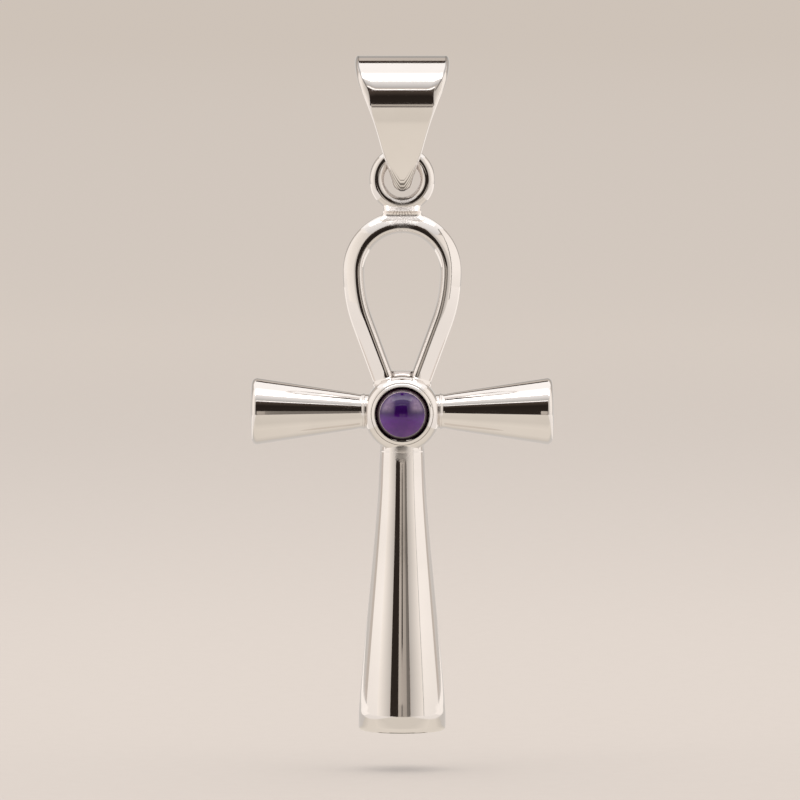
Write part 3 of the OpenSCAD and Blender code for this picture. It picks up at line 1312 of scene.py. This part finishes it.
    def build(self) -> bpy.types.Object:
        """Draws the section round the barrel, down the leaf and into the tip, then mirrors it.

        Returns:
            The finished bail.
        """
        piece = self._section()
        rows = self.rows()
        full = (self.layout.bail_half_width, self.outer_round + self.flat_margin)
        sizes = []
        for outer, inner in rows:
            height = outer[1] + self.seen_share * (inner[1] - outer[1])
            height -= self.seen_drop * outer[0]
            sizes.append((self.half_width(height), self.edge_width(height)))
        Bench.pick(piece, lambda co: True)
        self._fit(piece, Bench.picked(piece), full, sizes[0])
        for index, (before, after) in enumerate(pairwise(rows)):
            (out_a, in_a), (out_b, in_b) = before, after
            Bench.extrude((0, out_a[0] - out_b[0], out_b[1] - out_a[1]))
            corner = (0, -out_b[0], out_b[1])
            old = math.atan2(in_a[1] - out_a[1], out_a[0] - in_a[0])
            new = math.atan2(in_b[1] - out_b[1], out_b[0] - in_b[0])
            if abs(new - old) > LEAST_TURN:
                bpy.ops.transform.rotate(
                    value=old - new, orient_axis="X", center_override=corner
                )
            longer = math.dist(out_b, in_b) / math.dist(out_a, in_a)
            if abs(longer - 1) > LEAST_TURN:
                bpy.ops.transform.resize(value=(1, longer, longer), center_override=corner)
            self._fit(piece, Bench.picked(piece), sizes[index], sizes[index + 1])
        mesh = bmesh.from_edit_mesh(piece.data)
        for face in mesh.faces:
            face.select = all(abs(vertex.co.y) < TOUCH / 2 for vertex in face.verts)
        bmesh.update_edit_mesh(piece.data)
        bpy.ops.mesh.delete(type="FACE")
        Bench.clear()
        Bench.mirror(piece, (True, True, False))
        Bench.clean(piece)
        return Bench.settle(piece)


@dataclass
class Ring:
    """The closed jump ring of round wire."""

    layout: Layout
    outer: float = 4.88
    wire: float = 1.15
    round_steps: int = 144
    wire_steps: int = 48

    @property
    def centre(self) -> float:
        """Height of the ring's middle."""
        return self.layout.ring_top - self.outer / 2

    def build(self) -> bpy.types.Object:
        """Makes the ring, standing in the plane of the ankh.

        Returns:
            The finished ring.
        """
        Bench.clear()
        bpy.ops.mesh.primitive_torus_add(
            major_segments=self.round_steps,
            minor_segments=self.wire_steps,
            major_radius=(self.outer - self.wire) / 2,
            minor_radius=self.wire / 2,
            rotation=(math.pi / 2, 0, 0),
            location=(0, 0, self.centre),
        )
        return Bench.settle(Bench.named("ring"))


@dataclass
class Neck:
    """The small solder block between the ring and the loop."""

    width: float = 2.74
    depth: float = 1.05
    corner: float = 0.46
    corner_steps: int = 6

    # Width and depth as shares of the block's own, and height
    ROWS = (
        (1.36, 1.24, -11.46), (1.32, 1.18, -11.38), (1.27, 1.12, -11.30), (1.21, 1.03, -11.22),
        (1.15, 0.96, -11.14), (1.10, 0.93, -11.06), (1.07, 0.95, -10.99), (1.05, 1.03, -10.92),
        (1.05, 1.18, -10.86), (1.05, 1.36, -10.81), (1.05, 1.44, -10.78), (1.05, 1.46, -10.76),
        (1.05, 1.44, -10.73), (1.05, 1.40, -10.70), (1.05, 1.285, -10.62), (1.05, 1.17, -10.54),
        (1.05, 1.055, -10.46), (1.05, 0.94, -10.38), (1.05, 0.825, -10.30), (1.04, 0.71, -10.22),
        (1.02, 0.62, -10.16), (0.97, 0.53, -10.11), (0.86, 0.42, -10.07), (0.62, 0.28, -10.05),
    )  # fmt: skip

    def build(self) -> bpy.types.Object:
        """Makes the block row by row from a rounded rectangle.

        Returns:
            The finished neck.
        """
        Bench.clear()
        bpy.ops.mesh.primitive_plane_add(size=1)
        piece = Bench.named("neck")
        Bench.edit(piece)
        bpy.ops.transform.resize(value=(self.width, self.depth, 1))
        bpy.ops.mesh.bevel(offset=self.corner, segments=self.corner_steps, affect="VERTICES")
        width, depth, height = self.ROWS[0]
        bpy.ops.transform.translate(value=(0, 0, height))
        bpy.ops.transform.resize(value=(width, depth, 1))
        for before, after in pairwise(self.ROWS):
            Bench.extrude((0, 0, after[2] - before[2]))
            bpy.ops.transform.resize(
                value=(after[0] / before[0], after[1] / before[1], 1),
                center_override=(0, 0, after[2]),
            )
        Bench.clean(piece)
        return Bench.settle(piece)


@dataclass
class Loop:
    """The looped band over the hub, with a crest near its inner edge."""

    layout: Layout
    half_width: float = 4.4
    outer: float = 1.2
    inner: float = 0.40
    depth: float = 1.7
    side_r: float = 10.6
    lean: float = 20.3
    fillet: float = 0.15
    sunk: float = 0.12
    sunk_spread: float = 1.02
    half_steps: int = 40
    lean_steps: int = 6
    edge_steps: int = 14
    top_steps: int = 64
    side_steps: int = 18
    strand_steps: int = 10
    fillet_steps: int = 8

    # Distance outwards from the crest, and the face's lean there in degrees
    LEANS = ((0.0, 0.0), (0.25, 16.0), (0.34, 20.0), (0.41, 31.0), (0.70, 34.0), (1.0, 38.0))

    def __post_init__(self) -> None:
        """Works out the path of the crest, measured from the middle of the hub."""
        self.crest_r = self.half_width - self.outer
        turn = math.radians(self.lean)
        end_x = self.side_r * math.cos(turn) - (self.side_r - self.crest_r)
        self.strand = end_x / math.sin(turn)
        self.rise = end_x / math.tan(turn) + self.side_r * math.sin(turn)

    @property
    def centre(self) -> float:
        """Height of the middle of the round top."""
        return self.layout.hub + self.rise

    def _section(self) -> bpy.types.Object:
        """Draws the band's section at the top of the loop, in edit mode.

        Returns:
            A closed line, with a tight crest and a long slope outwards.
        """
        crest = self.centre + self.crest_r
        slope = self._slope()
        points = [Vector((0, -depth, crest + reach)) for reach, depth in slope]
        points += [Vector((0, depth, crest + reach)) for reach, depth in reversed(slope[:-1])]
        for step in range(1, self.half_steps):
            turn = math.pi * step / self.half_steps
            depth = self.depth / 2 * math.cos(turn)
            points.append(Vector((0, depth, crest - self.inner * math.sin(turn))))
        return Bench.line("loop", points)

    def _slope(self) -> list[Pair]:
        """Works out the front face from the crest to the outer edge.

        Returns:
            Distance from the crest and depth of each point.
        """
        rows = [(0.0, 0.0)]
        count = self.lean_steps
        for (start, first), (stop, last) in pairwise(self.LEANS):
            for step in range(count):
                lean = math.radians(first + (last - first) * (step + 0.5) / count)
                reach, drop = rows[-1]
                drop += math.tan(lean) * (stop - start) / count
                rows.append((reach + (stop - start) / count, drop))
        reach, drop = rows[-1]
        last = math.radians(self.LEANS[-1][1])
        bend = (self.outer - reach) / (1 - math.sin(last))
        for step in range(1, self.edge_steps + 1):
            lean = last + (math.pi / 2 - last) * step / self.edge_steps
            out = self.outer - bend * (1 - math.sin(lean))
            rows.append((out, drop + bend * (math.cos(last) - math.cos(lean))))
        share = self.depth / 2 / rows[-1][1]
        return [(reach, self.depth / 2 - share * drop) for reach, drop in rows]

    def _strand(self) -> list[Pair]:
        """Sets out the rows of the straight strand and of its fillet at the hub.

        Returns:
            Way down the strand and growth of the section at each row.
        """
        straight = self.strand - HUB_R - self.fillet
        count = self.strand_steps
        rows = [(straight * step / count, 0.0) for step in range(1, count + 1)]
        for step in range(1, self.fillet_steps + 1):
            angle = math.radians(90 * step / self.fillet_steps)
            spread = self.fillet * (1 - math.cos(angle))
            rows.append((straight + self.fillet * math.sin(angle), spread))
        rows.append((straight + self.fillet + self.sunk, self.fillet * self.sunk_spread))
        return rows

    def build(self, hub: bpy.types.Object) -> bpy.types.Object:
        """Spins the section over the top and down the side, draws the strand and mirrors it.

        Args:
            hub: the hub in its place, which the strand's foot is drawn onto.

        Returns:
            The finished loop.
        """
        piece = self._section()
        bends = (
            (0.0, 90.0, self.top_steps),
            (self.crest_r - self.side_r, self.lean, self.side_steps),
        )
        for middle, angle, steps in bends:
            bpy.ops.mesh.spin(
                steps=steps,
                angle=math.radians(angle),
                center=(middle, 0, self.centre),
                axis=(0, -1, 0),
            )
        turn = math.radians(self.lean)
        down = Vector((-math.sin(turn), 0, -math.cos(turn)))
        hub_middle = Vector((0, 0, self.layout.hub))
        half = (self.outer + self.inner) / 2
        done, swell = 0.0, 0.0
        foot: dict[int, float] = {}
        for along, spread in self._strand():
            Bench.extrude(down * (along - done))
            done = along
            wider = (half + spread) / (half + swell)
            swell = spread
            middle = hub_middle - down * (self.strand - done)
            if wider != 1:
                bpy.ops.transform.resize(value=(wider, wider, wider), center_override=middle)
            if spread > 0:
                row = Bench.picked(piece)
                foot.update(dict.fromkeys(row, min(1.0, spread / self.fillet) ** 2))
        Bench.clear()
        Bench.seat(piece, hub, foot)
        Bench.mirror(piece, (True, False, False))
        Bench.clean(piece)
        return Bench.settle(piece)


@dataclass
class Hub:
    """The round boss with the bezel's rim and the seat of the stone."""

    layout: Layout
    back: float = 1.8
    back_edge: float = 0.3
    back_margin: float = 0.05
    slope: Pair = (1.89, 0.92)
    slope_low: float = 0.8
    slope_turn: float = 62.8
    seat_r: float = 2.005
    seat_front: float = 0.74
    edge_steps: int = 8
    slope_steps: int = 26
    sides: int = 192

    # Radius and height of the fine groove, the lip that leans outwards and its roll to the stone
    LIP = (
        (2.298, 1.600), (2.288, 1.592), (2.278, 1.600), (2.266, 1.618), (2.220, 1.645),
        (2.150, 1.687), (2.090, 1.723), (2.070, 1.733), (2.052, 1.739), (2.036, 1.738),
        (2.022, 1.730), (2.010, 1.712), (2.004, 1.690), (2.000, 1.650), (2.003, 1.500),
    )  # fmt: skip

    def rows(self) -> list[Pair]:
        """Sets out the rows, from the middle of the back to the middle of the seat.

        Returns:
            Radius and height of each row.
        """
        edge = self.back_edge
        rows = [(0.0, -self.back), (HUB_R - edge - self.back_margin, -self.back)]
        rows += arc((HUB_R - edge, edge - self.back), (edge, edge), -90, 0, self.edge_steps)
        rows.append((HUB_R, 0.0))
        middle, reach = self.slope
        rows += arc(
            (middle, self.slope_low), (reach, reach), 0, self.slope_turn, self.slope_steps
        )
        rows += list(self.LIP)
        rows += [(self.seat_r, self.seat_front), (0.0, self.seat_front)]
        return rows

    def build(self) -> bpy.types.Object:
        """Turns the hub and stands it in place.

        Returns:
            The hub, still in millimetres for the loop to be seated on.
        """
        piece = Bench.turned("hub", self.rows(), self.sides)
        return Bench.stand(piece, (90.0, 0.0, 0.0), (0.0, 0.0, self.layout.hub))


@dataclass
class Arm:
    """One of the two turned and flared arms."""

    layout: Layout
    side: int
    inner_r: float = 1.27
    end_r: float = 2.45
    start: float = 3.01
    first: float = 3.2
    rise: float = 0.15
    edge: float = 0.4
    edge_stop: float = 88
    dome: float = 0.1
    cone_steps: int = 12
    edge_steps: int = 14
    dome_steps: int = 8

    # Radius and distance from the hub's middle of the bead and the fillet at the hub
    COLLAR = (
        (0.0, 2.00), (1.24, 2.05), (1.25, 2.74), (1.28, 2.76), (1.315, 2.79), (1.325, 2.83),
        (1.31, 2.87), (1.285, 2.895), (1.29, 2.91), (1.30, 2.925), (1.275, 2.97), (1.26, 3.03),
        (1.256, 3.10), (1.264, 3.17),
    )  # fmt: skip

    def rows(self) -> list[Pair]:
        """Sets out the rows, from inside the hub out to the arm's end.

        Returns:
            Radius and distance from the hub's middle of each row.
        """
        reach = self.layout.half_span
        side = reach - self.dome - self.edge
        rows = list(self.COLLAR)
        for step in range(1, self.cone_steps + 1):
            place = self.first + (side - self.first) * step / self.cone_steps
            share = (place - self.start) / (side - self.start)
            rows.append((self.inner_r + share * (self.end_r - self.inner_r), place))
        lean = math.degrees(math.atan((self.end_r - self.inner_r) / (side - self.start)))
        flat = self.end_r - self.edge
        oval = (self.edge, self.edge)
        rows += arc((flat, side), oval, -lean / 2, self.edge_stop, self.edge_steps)[1:]
        return rows + domed(flat, reach, self.dome, self.dome_steps)

    def build(self) -> bpy.types.Object:
        """Turns the arm and lays it to its side.

        Returns:
            The finished arm.
        """
        name = "arm_right" if self.side > 0 else "arm_left"
        piece = Bench.turned(name, self.rows())
        place = (0.0, 0.0, self.layout.hub + self.rise)
        return Bench.settle(Bench.stand(piece, (0.0, 90.0 * self.side, 0.0), place))


@dataclass
class Shaft:
    """The turned stem that flares like a trumpet to its foot."""

    layout: Layout
    top_r: float = 1.64
    end_r: float = 3.21
    edge: float = 0.30
    edge_stop: float = 80
    dome: float = 0.22
    least_step: float = 0.1
    flare_steps: int = 6
    edge_steps: int = 12
    dome_steps: int = 12
    sides: int = 200

    # Radius and distance below the hub's middle of the top inside the hub and of the fillet
    TOP = (
        (0.0, 1.40), (1.45, 1.50), (1.56, 1.90), (1.60, 2.30), (1.635, 2.62), (1.641, 2.80),
        (1.636, 2.84), (1.637, 2.88), (1.641, 2.92),
    )  # fmt: skip

    # How far down, and how much of the widening is reached
    FLARE = (
        (0.00, 0.00), (0.10, 0.05), (0.19, 0.12), (0.34, 0.28), (0.52, 0.50), (0.70, 0.72),
        (0.87, 0.925), (0.935, 0.985), (0.96, 1.00), (1.00, 1.00),
    )  # fmt: skip

    def rows(self) -> list[Pair]:
        """Sets out the rows, from inside the hub down to the foot.

        Returns:
            Radius and distance below the hub's middle of each row.
        """
        length = self.layout.hub - self.layout.foot
        side = length - HUB_R - self.dome - self.edge
        rows = list(self.TOP)
        for down, reached in smooth_run(self.FLARE, self.flare_steps)[1:]:
            place = HUB_R + down * side
            if place > rows[-1][1] + self.least_step:
                rows.append((self.top_r + reached * (self.end_r - self.top_r), place))
        low = length - self.dome - self.edge
        flat = self.end_r - self.edge
        rows += arc((flat, low), (self.edge, self.edge), 0, self.edge_stop, self.edge_steps)[1:]
        return rows + domed(flat, length, self.dome, self.dome_steps)

    def build(self) -> bpy.types.Object:
        """Turns the shaft and hangs it under the hub.

        Returns:
            The finished shaft.
        """
        piece = Bench.turned("shaft", self.rows(), self.sides)
        return Bench.settle(Bench.stand(piece, (180.0, 0.0, 0.0), (0.0, 0.0, self.layout.hub)))


@dataclass
class Web:
    """The bit of solder in the crotch between the loop's two strands."""

    layout: Layout
    half_width: float = 0.95
    low_depth: float = 0.30
    top_depth: float = 0.62
    top: float = 3.17
    low: float = 2.65
    edge: float = 0.05
    edge_steps: int = 4
    edge_turn: float = 50

    def build(self) -> bpy.types.Object:
        """Makes a small bar whose faces lean back downwards.

        Returns:
            The finished web.
        """
        Bench.clear()
        hub = self.layout.hub
        bpy.ops.mesh.primitive_cube_add(size=2, location=(0, 0, 0))
        piece = Bench.named("web")
        Bench.edit(piece)
        height = (self.top - self.low) / 2
        bpy.ops.transform.resize(value=(self.half_width, self.low_depth, height))
        bpy.ops.transform.translate(value=(0, 0, hub + self.low + height))
        Bench.pick(piece, lambda co: co.z > hub + self.top - TOUCH)
        wider = self.top_depth / self.low_depth
        bpy.ops.transform.resize(value=(1, wider, 1), center_override=(0, 0, hub + self.top))
        Bench.clear()
        rounded = piece.modifiers.new("edges", "BEVEL")
        rounded.width = self.edge
        rounded.segments = self.edge_steps
        rounded.limit_method = "ANGLE"
        rounded.angle_limit = math.radians(self.edge_turn)
        Bench.apply_all(piece)
        Bench.clean(piece)
        return Bench.settle(piece)


@dataclass
class Cabochon:
    """The round stone with a straight base and a low dome."""

    layout: Layout
    base: float = 0.6
    edge: float = 0.04
    dome_steps: int = 48
    sides: int = 128

    def rows(self) -> list[Pair]:
        """Sets out the rows, from the middle of the back to the middle of the dome.

        Returns:
            Radius and height over the stone's back of each row.
        """
        lay = self.layout
        rise = lay.stone_front - lay.stone_back - self.base
        ball = (lay.stone_r**2 + rise**2) / (2 * rise)
        centre = self.base + rise - ball
        start = math.degrees(math.asin((self.base - centre) / ball))
        rows = [(0.0, 0.0), (lay.stone_r - self.edge, 0.0)]
        rows += [(lay.stone_r, self.edge), (lay.stone_r, self.base)]
        return rows + arc((0.0, centre), (ball, ball), start, 90, self.dome_steps)[1:]

    def build(self) -> bpy.types.Object:
        """Turns the stone and sets it in its seat.

        Returns:
            The finished stone.
        """
        piece = Bench.turned("stone", self.rows(), self.sides)
        place = (0.0, -self.layout.stone_back, self.layout.hub)
        return Bench.settle(Bench.stand(piece, (90.0, 0.0, 0.0), place))


@dataclass(frozen=True)
class Card:
    """An upright or level reflector with an even fade from one end to the other.

    Attributes:
        name: the card's name.
        centre: its middle, in metres.
        size: its width and height, in metres.
        turn: turns about X and Z in degrees that bring it from level to its place.
        first: its light at the left or near end.
        last: its light at the right or far end.
        tone: the colour of its light.
        along: the side along which it fades, 0 for width and 1 for height.
    """

    name: str
    centre: Triple
    size: Pair
    turn: Pair
    first: float
    last: float
    tone: Colour = (1.0, 0.97, 0.94)
    along: int = 0

    def build(self) -> None:
        """Makes the card, seen only in reflections."""
        Bench.clear()
        bpy.ops.mesh.primitive_plane_add(size=1, location=self.centre)
        card = bpy.context.object
        card.name = self.name
        card.scale = (*self.size, 1)
        card.rotation_euler = (math.radians(self.turn[0]), 0, math.radians(self.turn[1]))
        material, shader, nodes = fresh(self.name)
        nodes.tree.nodes.remove(shader)
        place = nodes.add("ShaderNodeTexCoord").outputs["Generated"]
        split = nodes.split(place)
        rise = self.last - self.first
        level = nodes.math("MULTIPLY_ADD", split[self.along], rise, self.first)
        light = nodes.add("ShaderNodeEmission")
        nodes.feed(light.inputs["Color"], rgba(self.tone))
        nodes.feed(light.inputs["Strength"], level)
        nodes.feed(nodes.tree.nodes["Material Output"].inputs["Surface"], light.outputs[0])
        card.data.materials.append(material)
        card.visible_camera = False
        card.visible_diffuse = False
        card.visible_shadow = False
        card.visible_transmission = False


@dataclass(frozen=True)
class Softbox:
    """A soft studio light. The silver shows a card in its place."""

    name: str
    centre: Triple
    size: Pair
    turn: Triple
    radiance: float
    tone: Colour = (1.0, 0.99, 0.975)

    def build(self) -> None:
        """Makes the light, unseen by the camera and in reflections."""
        Bench.clear()
        turn = [math.radians(angle) for angle in self.turn]
        bpy.ops.object.light_add(type="AREA", location=self.centre, rotation=turn)
        lamp = bpy.context.object
        lamp.name = self.name
        lamp.data.shape = "RECTANGLE"
        lamp.data.size, lamp.data.size_y = self.size
        lamp.data.energy = self.radiance * math.pi * self.size[0] * self.size[1]
        lamp.data.color = self.tone
        lamp.visible_camera = False
        lamp.visible_glossy = False


@dataclass
class Studio:
    """The plain floor, the soft lights and the reflectors round the pendant."""

    floor: float = -0.0522
    near: Colour = (0.412, 0.381, 0.362)
    middle: Colour = (0.582, 0.525, 0.477)
    far: Colour = (0.556, 0.497, 0.444)
    sky: Colour = (0.614, 0.545, 0.483)
    albedo: float = 0.105
    warmth: Pair = (0.88, 0.78)
    radius: float = 60.0
    edge_steps: int = 96
    near_fade: Pair = (0.18, 0.75)
    far_fade: Pair = (0.9, 5.0)
    grains: float = 700.0
    grain_edge: Pair = (0.3, 0.7)
    grain_low: float = 0.985
    overhead: float = 5.0
    sides: float = 2.4

    def build(self) -> None:
        """Sets the whole studio up."""
        self._world()
        self._floor()
        for lamp in self._lamps():
            lamp.build()
        for card in self._cards():
            card.build()

    def _world(self) -> None:
        """Fills the room with the far floor's own even light."""
        world = bpy.data.worlds.new("studio")
        bpy.context.scene.world = world
        world.use_nodes = True
        background = world.node_tree.nodes["Background"]
        background.inputs["Color"].default_value = rgba(self.sky)
        background.inputs["Strength"].default_value = 1.0

    def _floor(self) -> None:
        """Lays a wide pale floor that takes a faint shadow."""
        Bench.clear()
        bpy.ops.mesh.primitive_circle_add(
            vertices=self.edge_steps,
            radius=self.radius,
            fill_type="NGON",
            location=(0, 0, self.floor),
        )
        floor = bpy.context.object
        floor.name = "floor"
        material, shader, nodes = fresh("pale_floor")
        place = nodes.add("ShaderNodeTexCoord").outputs["Object"]
        away = nodes.add("ShaderNodeVectorMath", operation="LENGTH")
        nodes.feed(away.inputs[0], place)
        first = nodes.remap(away.outputs["Value"], *self.near_fade)
        glow = nodes.mix(first, rgba(self.near), rgba(self.middle))
        second = nodes.remap(away.outputs["Value"], *self.far_fade)
        glow = nodes.mix(second, glow, rgba(self.far))
        grain = nodes.noise(place, self.grains, 2.0)
        grain = nodes.remap(grain, *self.grain_edge, self.grain_low, 1.0)
        shader.inputs["Roughness"].default_value = 1.0
        shader.inputs["Specular IOR Level"].default_value = 0.0
        tone = (self.albedo, *(share * self.albedo for share in self.warmth))
        shader.inputs["Base Color"].default_value = rgba(tone)
        nodes.feed(shader.inputs["Emission Color"], glow)
        nodes.feed(shader.inputs["Emission Strength"], grain)
        floor.data.materials.append(material)

    def _lamps(self) -> list[Softbox]:
        """Lists the overhead light and the two tall side lights.

        Returns:
            The lights.
        """
        tall = self.floor + 0.19
        return [
            Softbox("overhead", (0, 0.0955, 0.27), (0.6, 0.523), (0, 0, 0), self.overhead),
            Softbox("left_light", (-0.25, -0.051, tall), (0.30, 0.303), (0, -90, 0), self.sides),
            Softbox("right_light", (0.25, 0.008, tall), (0.30, 0.218), (0, 90, 0), self.sides),
        ]

    def _upright(
        self,
        name: str,
        turn: float,
        reach: float,
        width: float,
        heights: Pair,
        light: Pair,
        tone: Colour = (1.0, 0.93, 0.85),
    ) -> Card:
        """A card that stands round the pendant and faces it.

        Args:
            name: the card's name.
            turn: where it stands, in degrees from the front towards the right.
            reach: how far off it stands.
            width: its width.
            heights: its lower and upper edge over the floor.
            light: its light at the left and right end, as the pendant sees it.
            tone: the colour of its light.

        Returns:
            The card.
        """
        angle = math.radians(turn)
        middle = self.floor + sum(heights) / 2
        centre = (reach * math.sin(angle), -reach * math.cos(angle), middle)
        size = (width, heights[1] - heights[0])
        return Card(name, centre, size, (90, turn), light[0], light[1], tone)

    def _cards(self) -> list[Card]:
        """Lists the dark cards and pale panels that the silver shows.

        Returns:
            The cards.
        """
        floor = self.floor
        dark = (1.0, 0.75, 0.6)
        warm = (1.0, 0.94, 0.875)
        beige = (1.0, 0.89, 0.775)
        sand = (1.0, 0.92, 0.81)
        rose = (1.0, 0.94, 0.88)
        flat, up = (0, 0), (90, 0)
        low, lower = floor + 0.0004, floor + 0.0002
        shades = (
            ("dark", 0.045, (0.154, 0.090), (0.03, 0.022)),
            ("dusk", 0.117, (0.154, 0.054), (0.022, 0.09)),
        )
        greys = (
            ("grey", 0.003, 0.0180, (0.060, 0.013), (0.58, 0.44)),
            ("ash_left", -0.016, 0.0295, (0.022, 0.010), (0.58, 0.50)),
            ("ash_right", 0.019, 0.0295, (0.028, 0.010), (0.48, 0.42)),
            ("low_left", -0.016, 0.006, (0.022, 0.011), (0.50, 0.46)),
            ("low_right", 0.019, 0.006, (0.028, 0.011), (0.44, 0.42)),
            ("low_gap", 0, 0.006, (0.010, 0.011), (0.22, 0.22)),
            ("low_dim", 0.045, 0.006, (0.024, 0.011), (0.21, 0.19)),
            ("dim", 0.045, 0.0230, (0.024, 0.023), (0.21, 0.19)),
        )
        sides = (
            ("left", (-0.25, -0.051), 0.303, (90, -90)),
            ("right", (0.25, -0.018), 0.270, (90, 90)),
        )
        return [
            *(
                Card(f"front_{name}", (-0.017, -0.150, floor + rise), size, up, *light, dark, 1)
                for name, rise, size, light in shades
            ),
            Card("front_line", (-0.017, -0.150, floor + 0.151), (0.154, 0.011), up, 1.6, 1.6),
            *(
                Card(f"front_{name}", (across, -0.149, floor + rise), size, up, *light, beige)
                for name, across, rise, size, light in greys
            ),
            Card("overhead_fade", (0, -0.2155, 0.27), (0.6, 0.235), flat, 0.50, 1.18, along=1),
            Card("overhead_soft", (0, 0.0785, 0.27), (0.6, 0.353), flat, 1.18, 1.18),
            Card("overhead_core", (0, -0.0625, 0.268), (0.42, 0.165), flat, 3.4, 1.15, along=1),
            Card("back_dark", (0, 0.2810, 0.2699), (0.14, 0.088), flat, 0.06, 0.06, dark),
            Card("back_left", (-0.185, 0.2900, 0.27), (0.23, 0.070), flat, 1.18, 1.18),
            Card("back_right", (0.185, 0.2900, 0.27), (0.23, 0.070), flat, 1.18, 1.18),
            *(
                Card(f"{side}_{part}", (*place, floor + rise), (wide, tall), turn, *light, warm, 1)
                for side, place, wide, turn in sides
                for part, rise, tall, light in (
                    ("soft", 0.165, 0.27, (1.09, 1.09)),
                    ("low", 0.015, 0.03, (1.00, 1.09)),
                )
            ),
            Card("left_floor", (-0.15, -0.085, low), (0.20, 0.230), flat, 1.06, 0.92, rose),
            Card("left_back", (-0.15, 0.110, low), (0.20, 0.160), flat, 1.20, 1.10, rose),
            Card("right_floor", (0.15, -0.085, low), (0.20, 0.230), flat, 0.95, 1.06, rose),
            Card("right_back", (0.15, 0.110, low), (0.20, 0.160), flat, 1.10, 1.20, rose),
            Card("front_floor", (0, -0.085, low), (0.10, 0.110), flat, 0.80, 0.75, sand, 1),
            Card("near_floor", (0, -0.021, low), (0.10, 0.018), flat, 0.75, 0.86, sand, 1),
            Card("mid_floor", (0, -0.003, low), (0.10, 0.018), flat, 0.84, 0.82, sand, 1),
            Card("behind_floor", (0, 0.013, low), (0.10, 0.014), flat, 0.80, 0.66, sand, 1),
            # Painted shade: dark cards under the foot, seen only in reflections, standing in for
            # the floor's shadow beneath it
            Card("foot_shade", (0, 0, floor + 0.0006), (0.0050, 0.0024), flat, 0.10, 0.10, dark),
            Card("foot_shade_core", (0, 0, floor + 0.0007), (0.0028, 0.0046), flat, 0.10, 0.10, dark),
            # Painted light: a bright card inside the bail's barrel, seen only in reflections, that
            # the arms and ring show in place of the bail's dark inside
            Card("bail_fill", (0, 0, -0.0015), (0.0068, 0.0056), flat, 1.15, 1.15),
            Card("back_floor", (0, 0.345, lower), (1.2, 0.65), flat, 0.66, 0.62, warm, 1),
            self._upright("left_fade", -51.5, 0.150, 0.100, (0.0, 0.16), (1.09, 0.62)),
            self._upright("right_beige", 41, 0.16, 0.106, (0.0, 0.16), (0.56, 1.02)),
            self._upright("right_gap", 59.5, 0.17, 0.006, (0.0, 0.2), (0.25, 0.25)),
            Card("back_low", (0, 0.62, floor + 0.07), (1.6, 0.14), up, 0.68, 0.66, warm, 1),
            Card("back_grey", (0, 0.621, floor + 0.25), (1.6, 0.22), up, 0.46, 0.42, warm, 1),
        ]


@dataclass
class View:
    """The camera, at the photo's angle."""

    aim: Triple = (-0.00016, 0.0, -0.02478)
    reach: float = 0.65
    up: float = 3.0
    lens: float = 395.0
    sensor: float = 36.0
    clip: Pair = (0.05, 120.0)

    def build(self) -> None:
        """Sets the camera up."""
        Bench.clear()
        angle = math.radians(self.up)
        place = Vector(self.aim) + self.reach * Vector((0, -math.cos(angle), math.sin(angle)))
        bpy.ops.object.camera_add(location=place, rotation=(math.pi / 2 - angle, 0, 0))
        camera = bpy.context.object
        camera.data.lens = self.lens
        camera.data.sensor_width = self.sensor
        camera.data.clip_start, camera.data.clip_end = self.clip
        bpy.context.scene.camera = camera
        bpy.context.scene.view_settings.view_transform = "Standard"


@dataclass
class Pendant:
    """The whole pendant, piece by piece."""

    layout: Layout
    effects: Effects
    silver: SilverFinish
    solder: SilverFinish
    stone: StoneFinish

    # How far the joint of ring and loop is below the ring's top, and the height that the
    # strokes in its solder fan out from, in millimetres
    JOINT = 4.9
    FAN = -9.8

    def _silver(
        self,
        piece: bpy.types.Object,
        solder: Sequence[tuple[Triple, float]] = (),
    ) -> None:
        """Finishes a silver piece of the ankh.

        Args:
            piece: the piece.
            solder: joints that keep a trace of solder, each a place and a reach in millimetres.
        """
        material = self.silver.material(f"silver_{piece.name}", self.effects, solder)
        dress(piece, material, Body.PENDANT, "ankh")

    def build(self) -> None:
        """Builds and dresses the pieces from the bail down."""
        lay = self.layout
        sheet = self.silver.material("silver_bail", self.effects, tip=lay.bail_tip)
        dress(Bail(lay).build(), sheet, Body.BAIL, "bail")
        joint = lay.ring_top - self.JOINT
        self._silver(Ring(lay).build(), [((0, 0, joint), 1.8)])
        traces = [((0, -0.5, joint), 2.0)]
        bright = self.solder.material("silver_neck", self.effects, traces, fan=self.FAN)
        dress(Neck().build(), bright, Body.PENDANT, "ankh")
        hub = Hub(lay).build()
        self._silver(Loop(lay).build(hub), [((0, 0, joint - 0.3), 1.9)])
        self._silver(Bench.settle(hub))
        for side in (-1, 1):
            self._silver(Arm(lay, side).build())
        self._silver(Shaft(lay).build(), [((0, -1.5, lay.hub - 2.85), 1.0)])
        self._silver(Web(lay).build())
        quartz = self.stone.material("violet_quartz", self.effects, lay)
        dress(Cabochon(lay).build(), quartz, Body.PENDANT, "cabochon")


def main() -> None:
    """Builds the pendant and its studio, and logs each piece's face count."""
    logging.basicConfig(level=logging.INFO, format="%(name)s %(message)s")
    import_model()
    layout = Layout.from_frame()
    solder = SilverFinish(
        tint=(0.97, 0.93, 0.91), haze_tint=(0.95, 0.91, 0.89), solder_tint=(0.94, 0.90, 0.875)
    )
    Pendant(layout, Effects(), SilverFinish(), solder, StoneFinish()).build()
    Studio().build()
    View().build()
    Bench.clear()


if __name__ == "__main__":
    main()
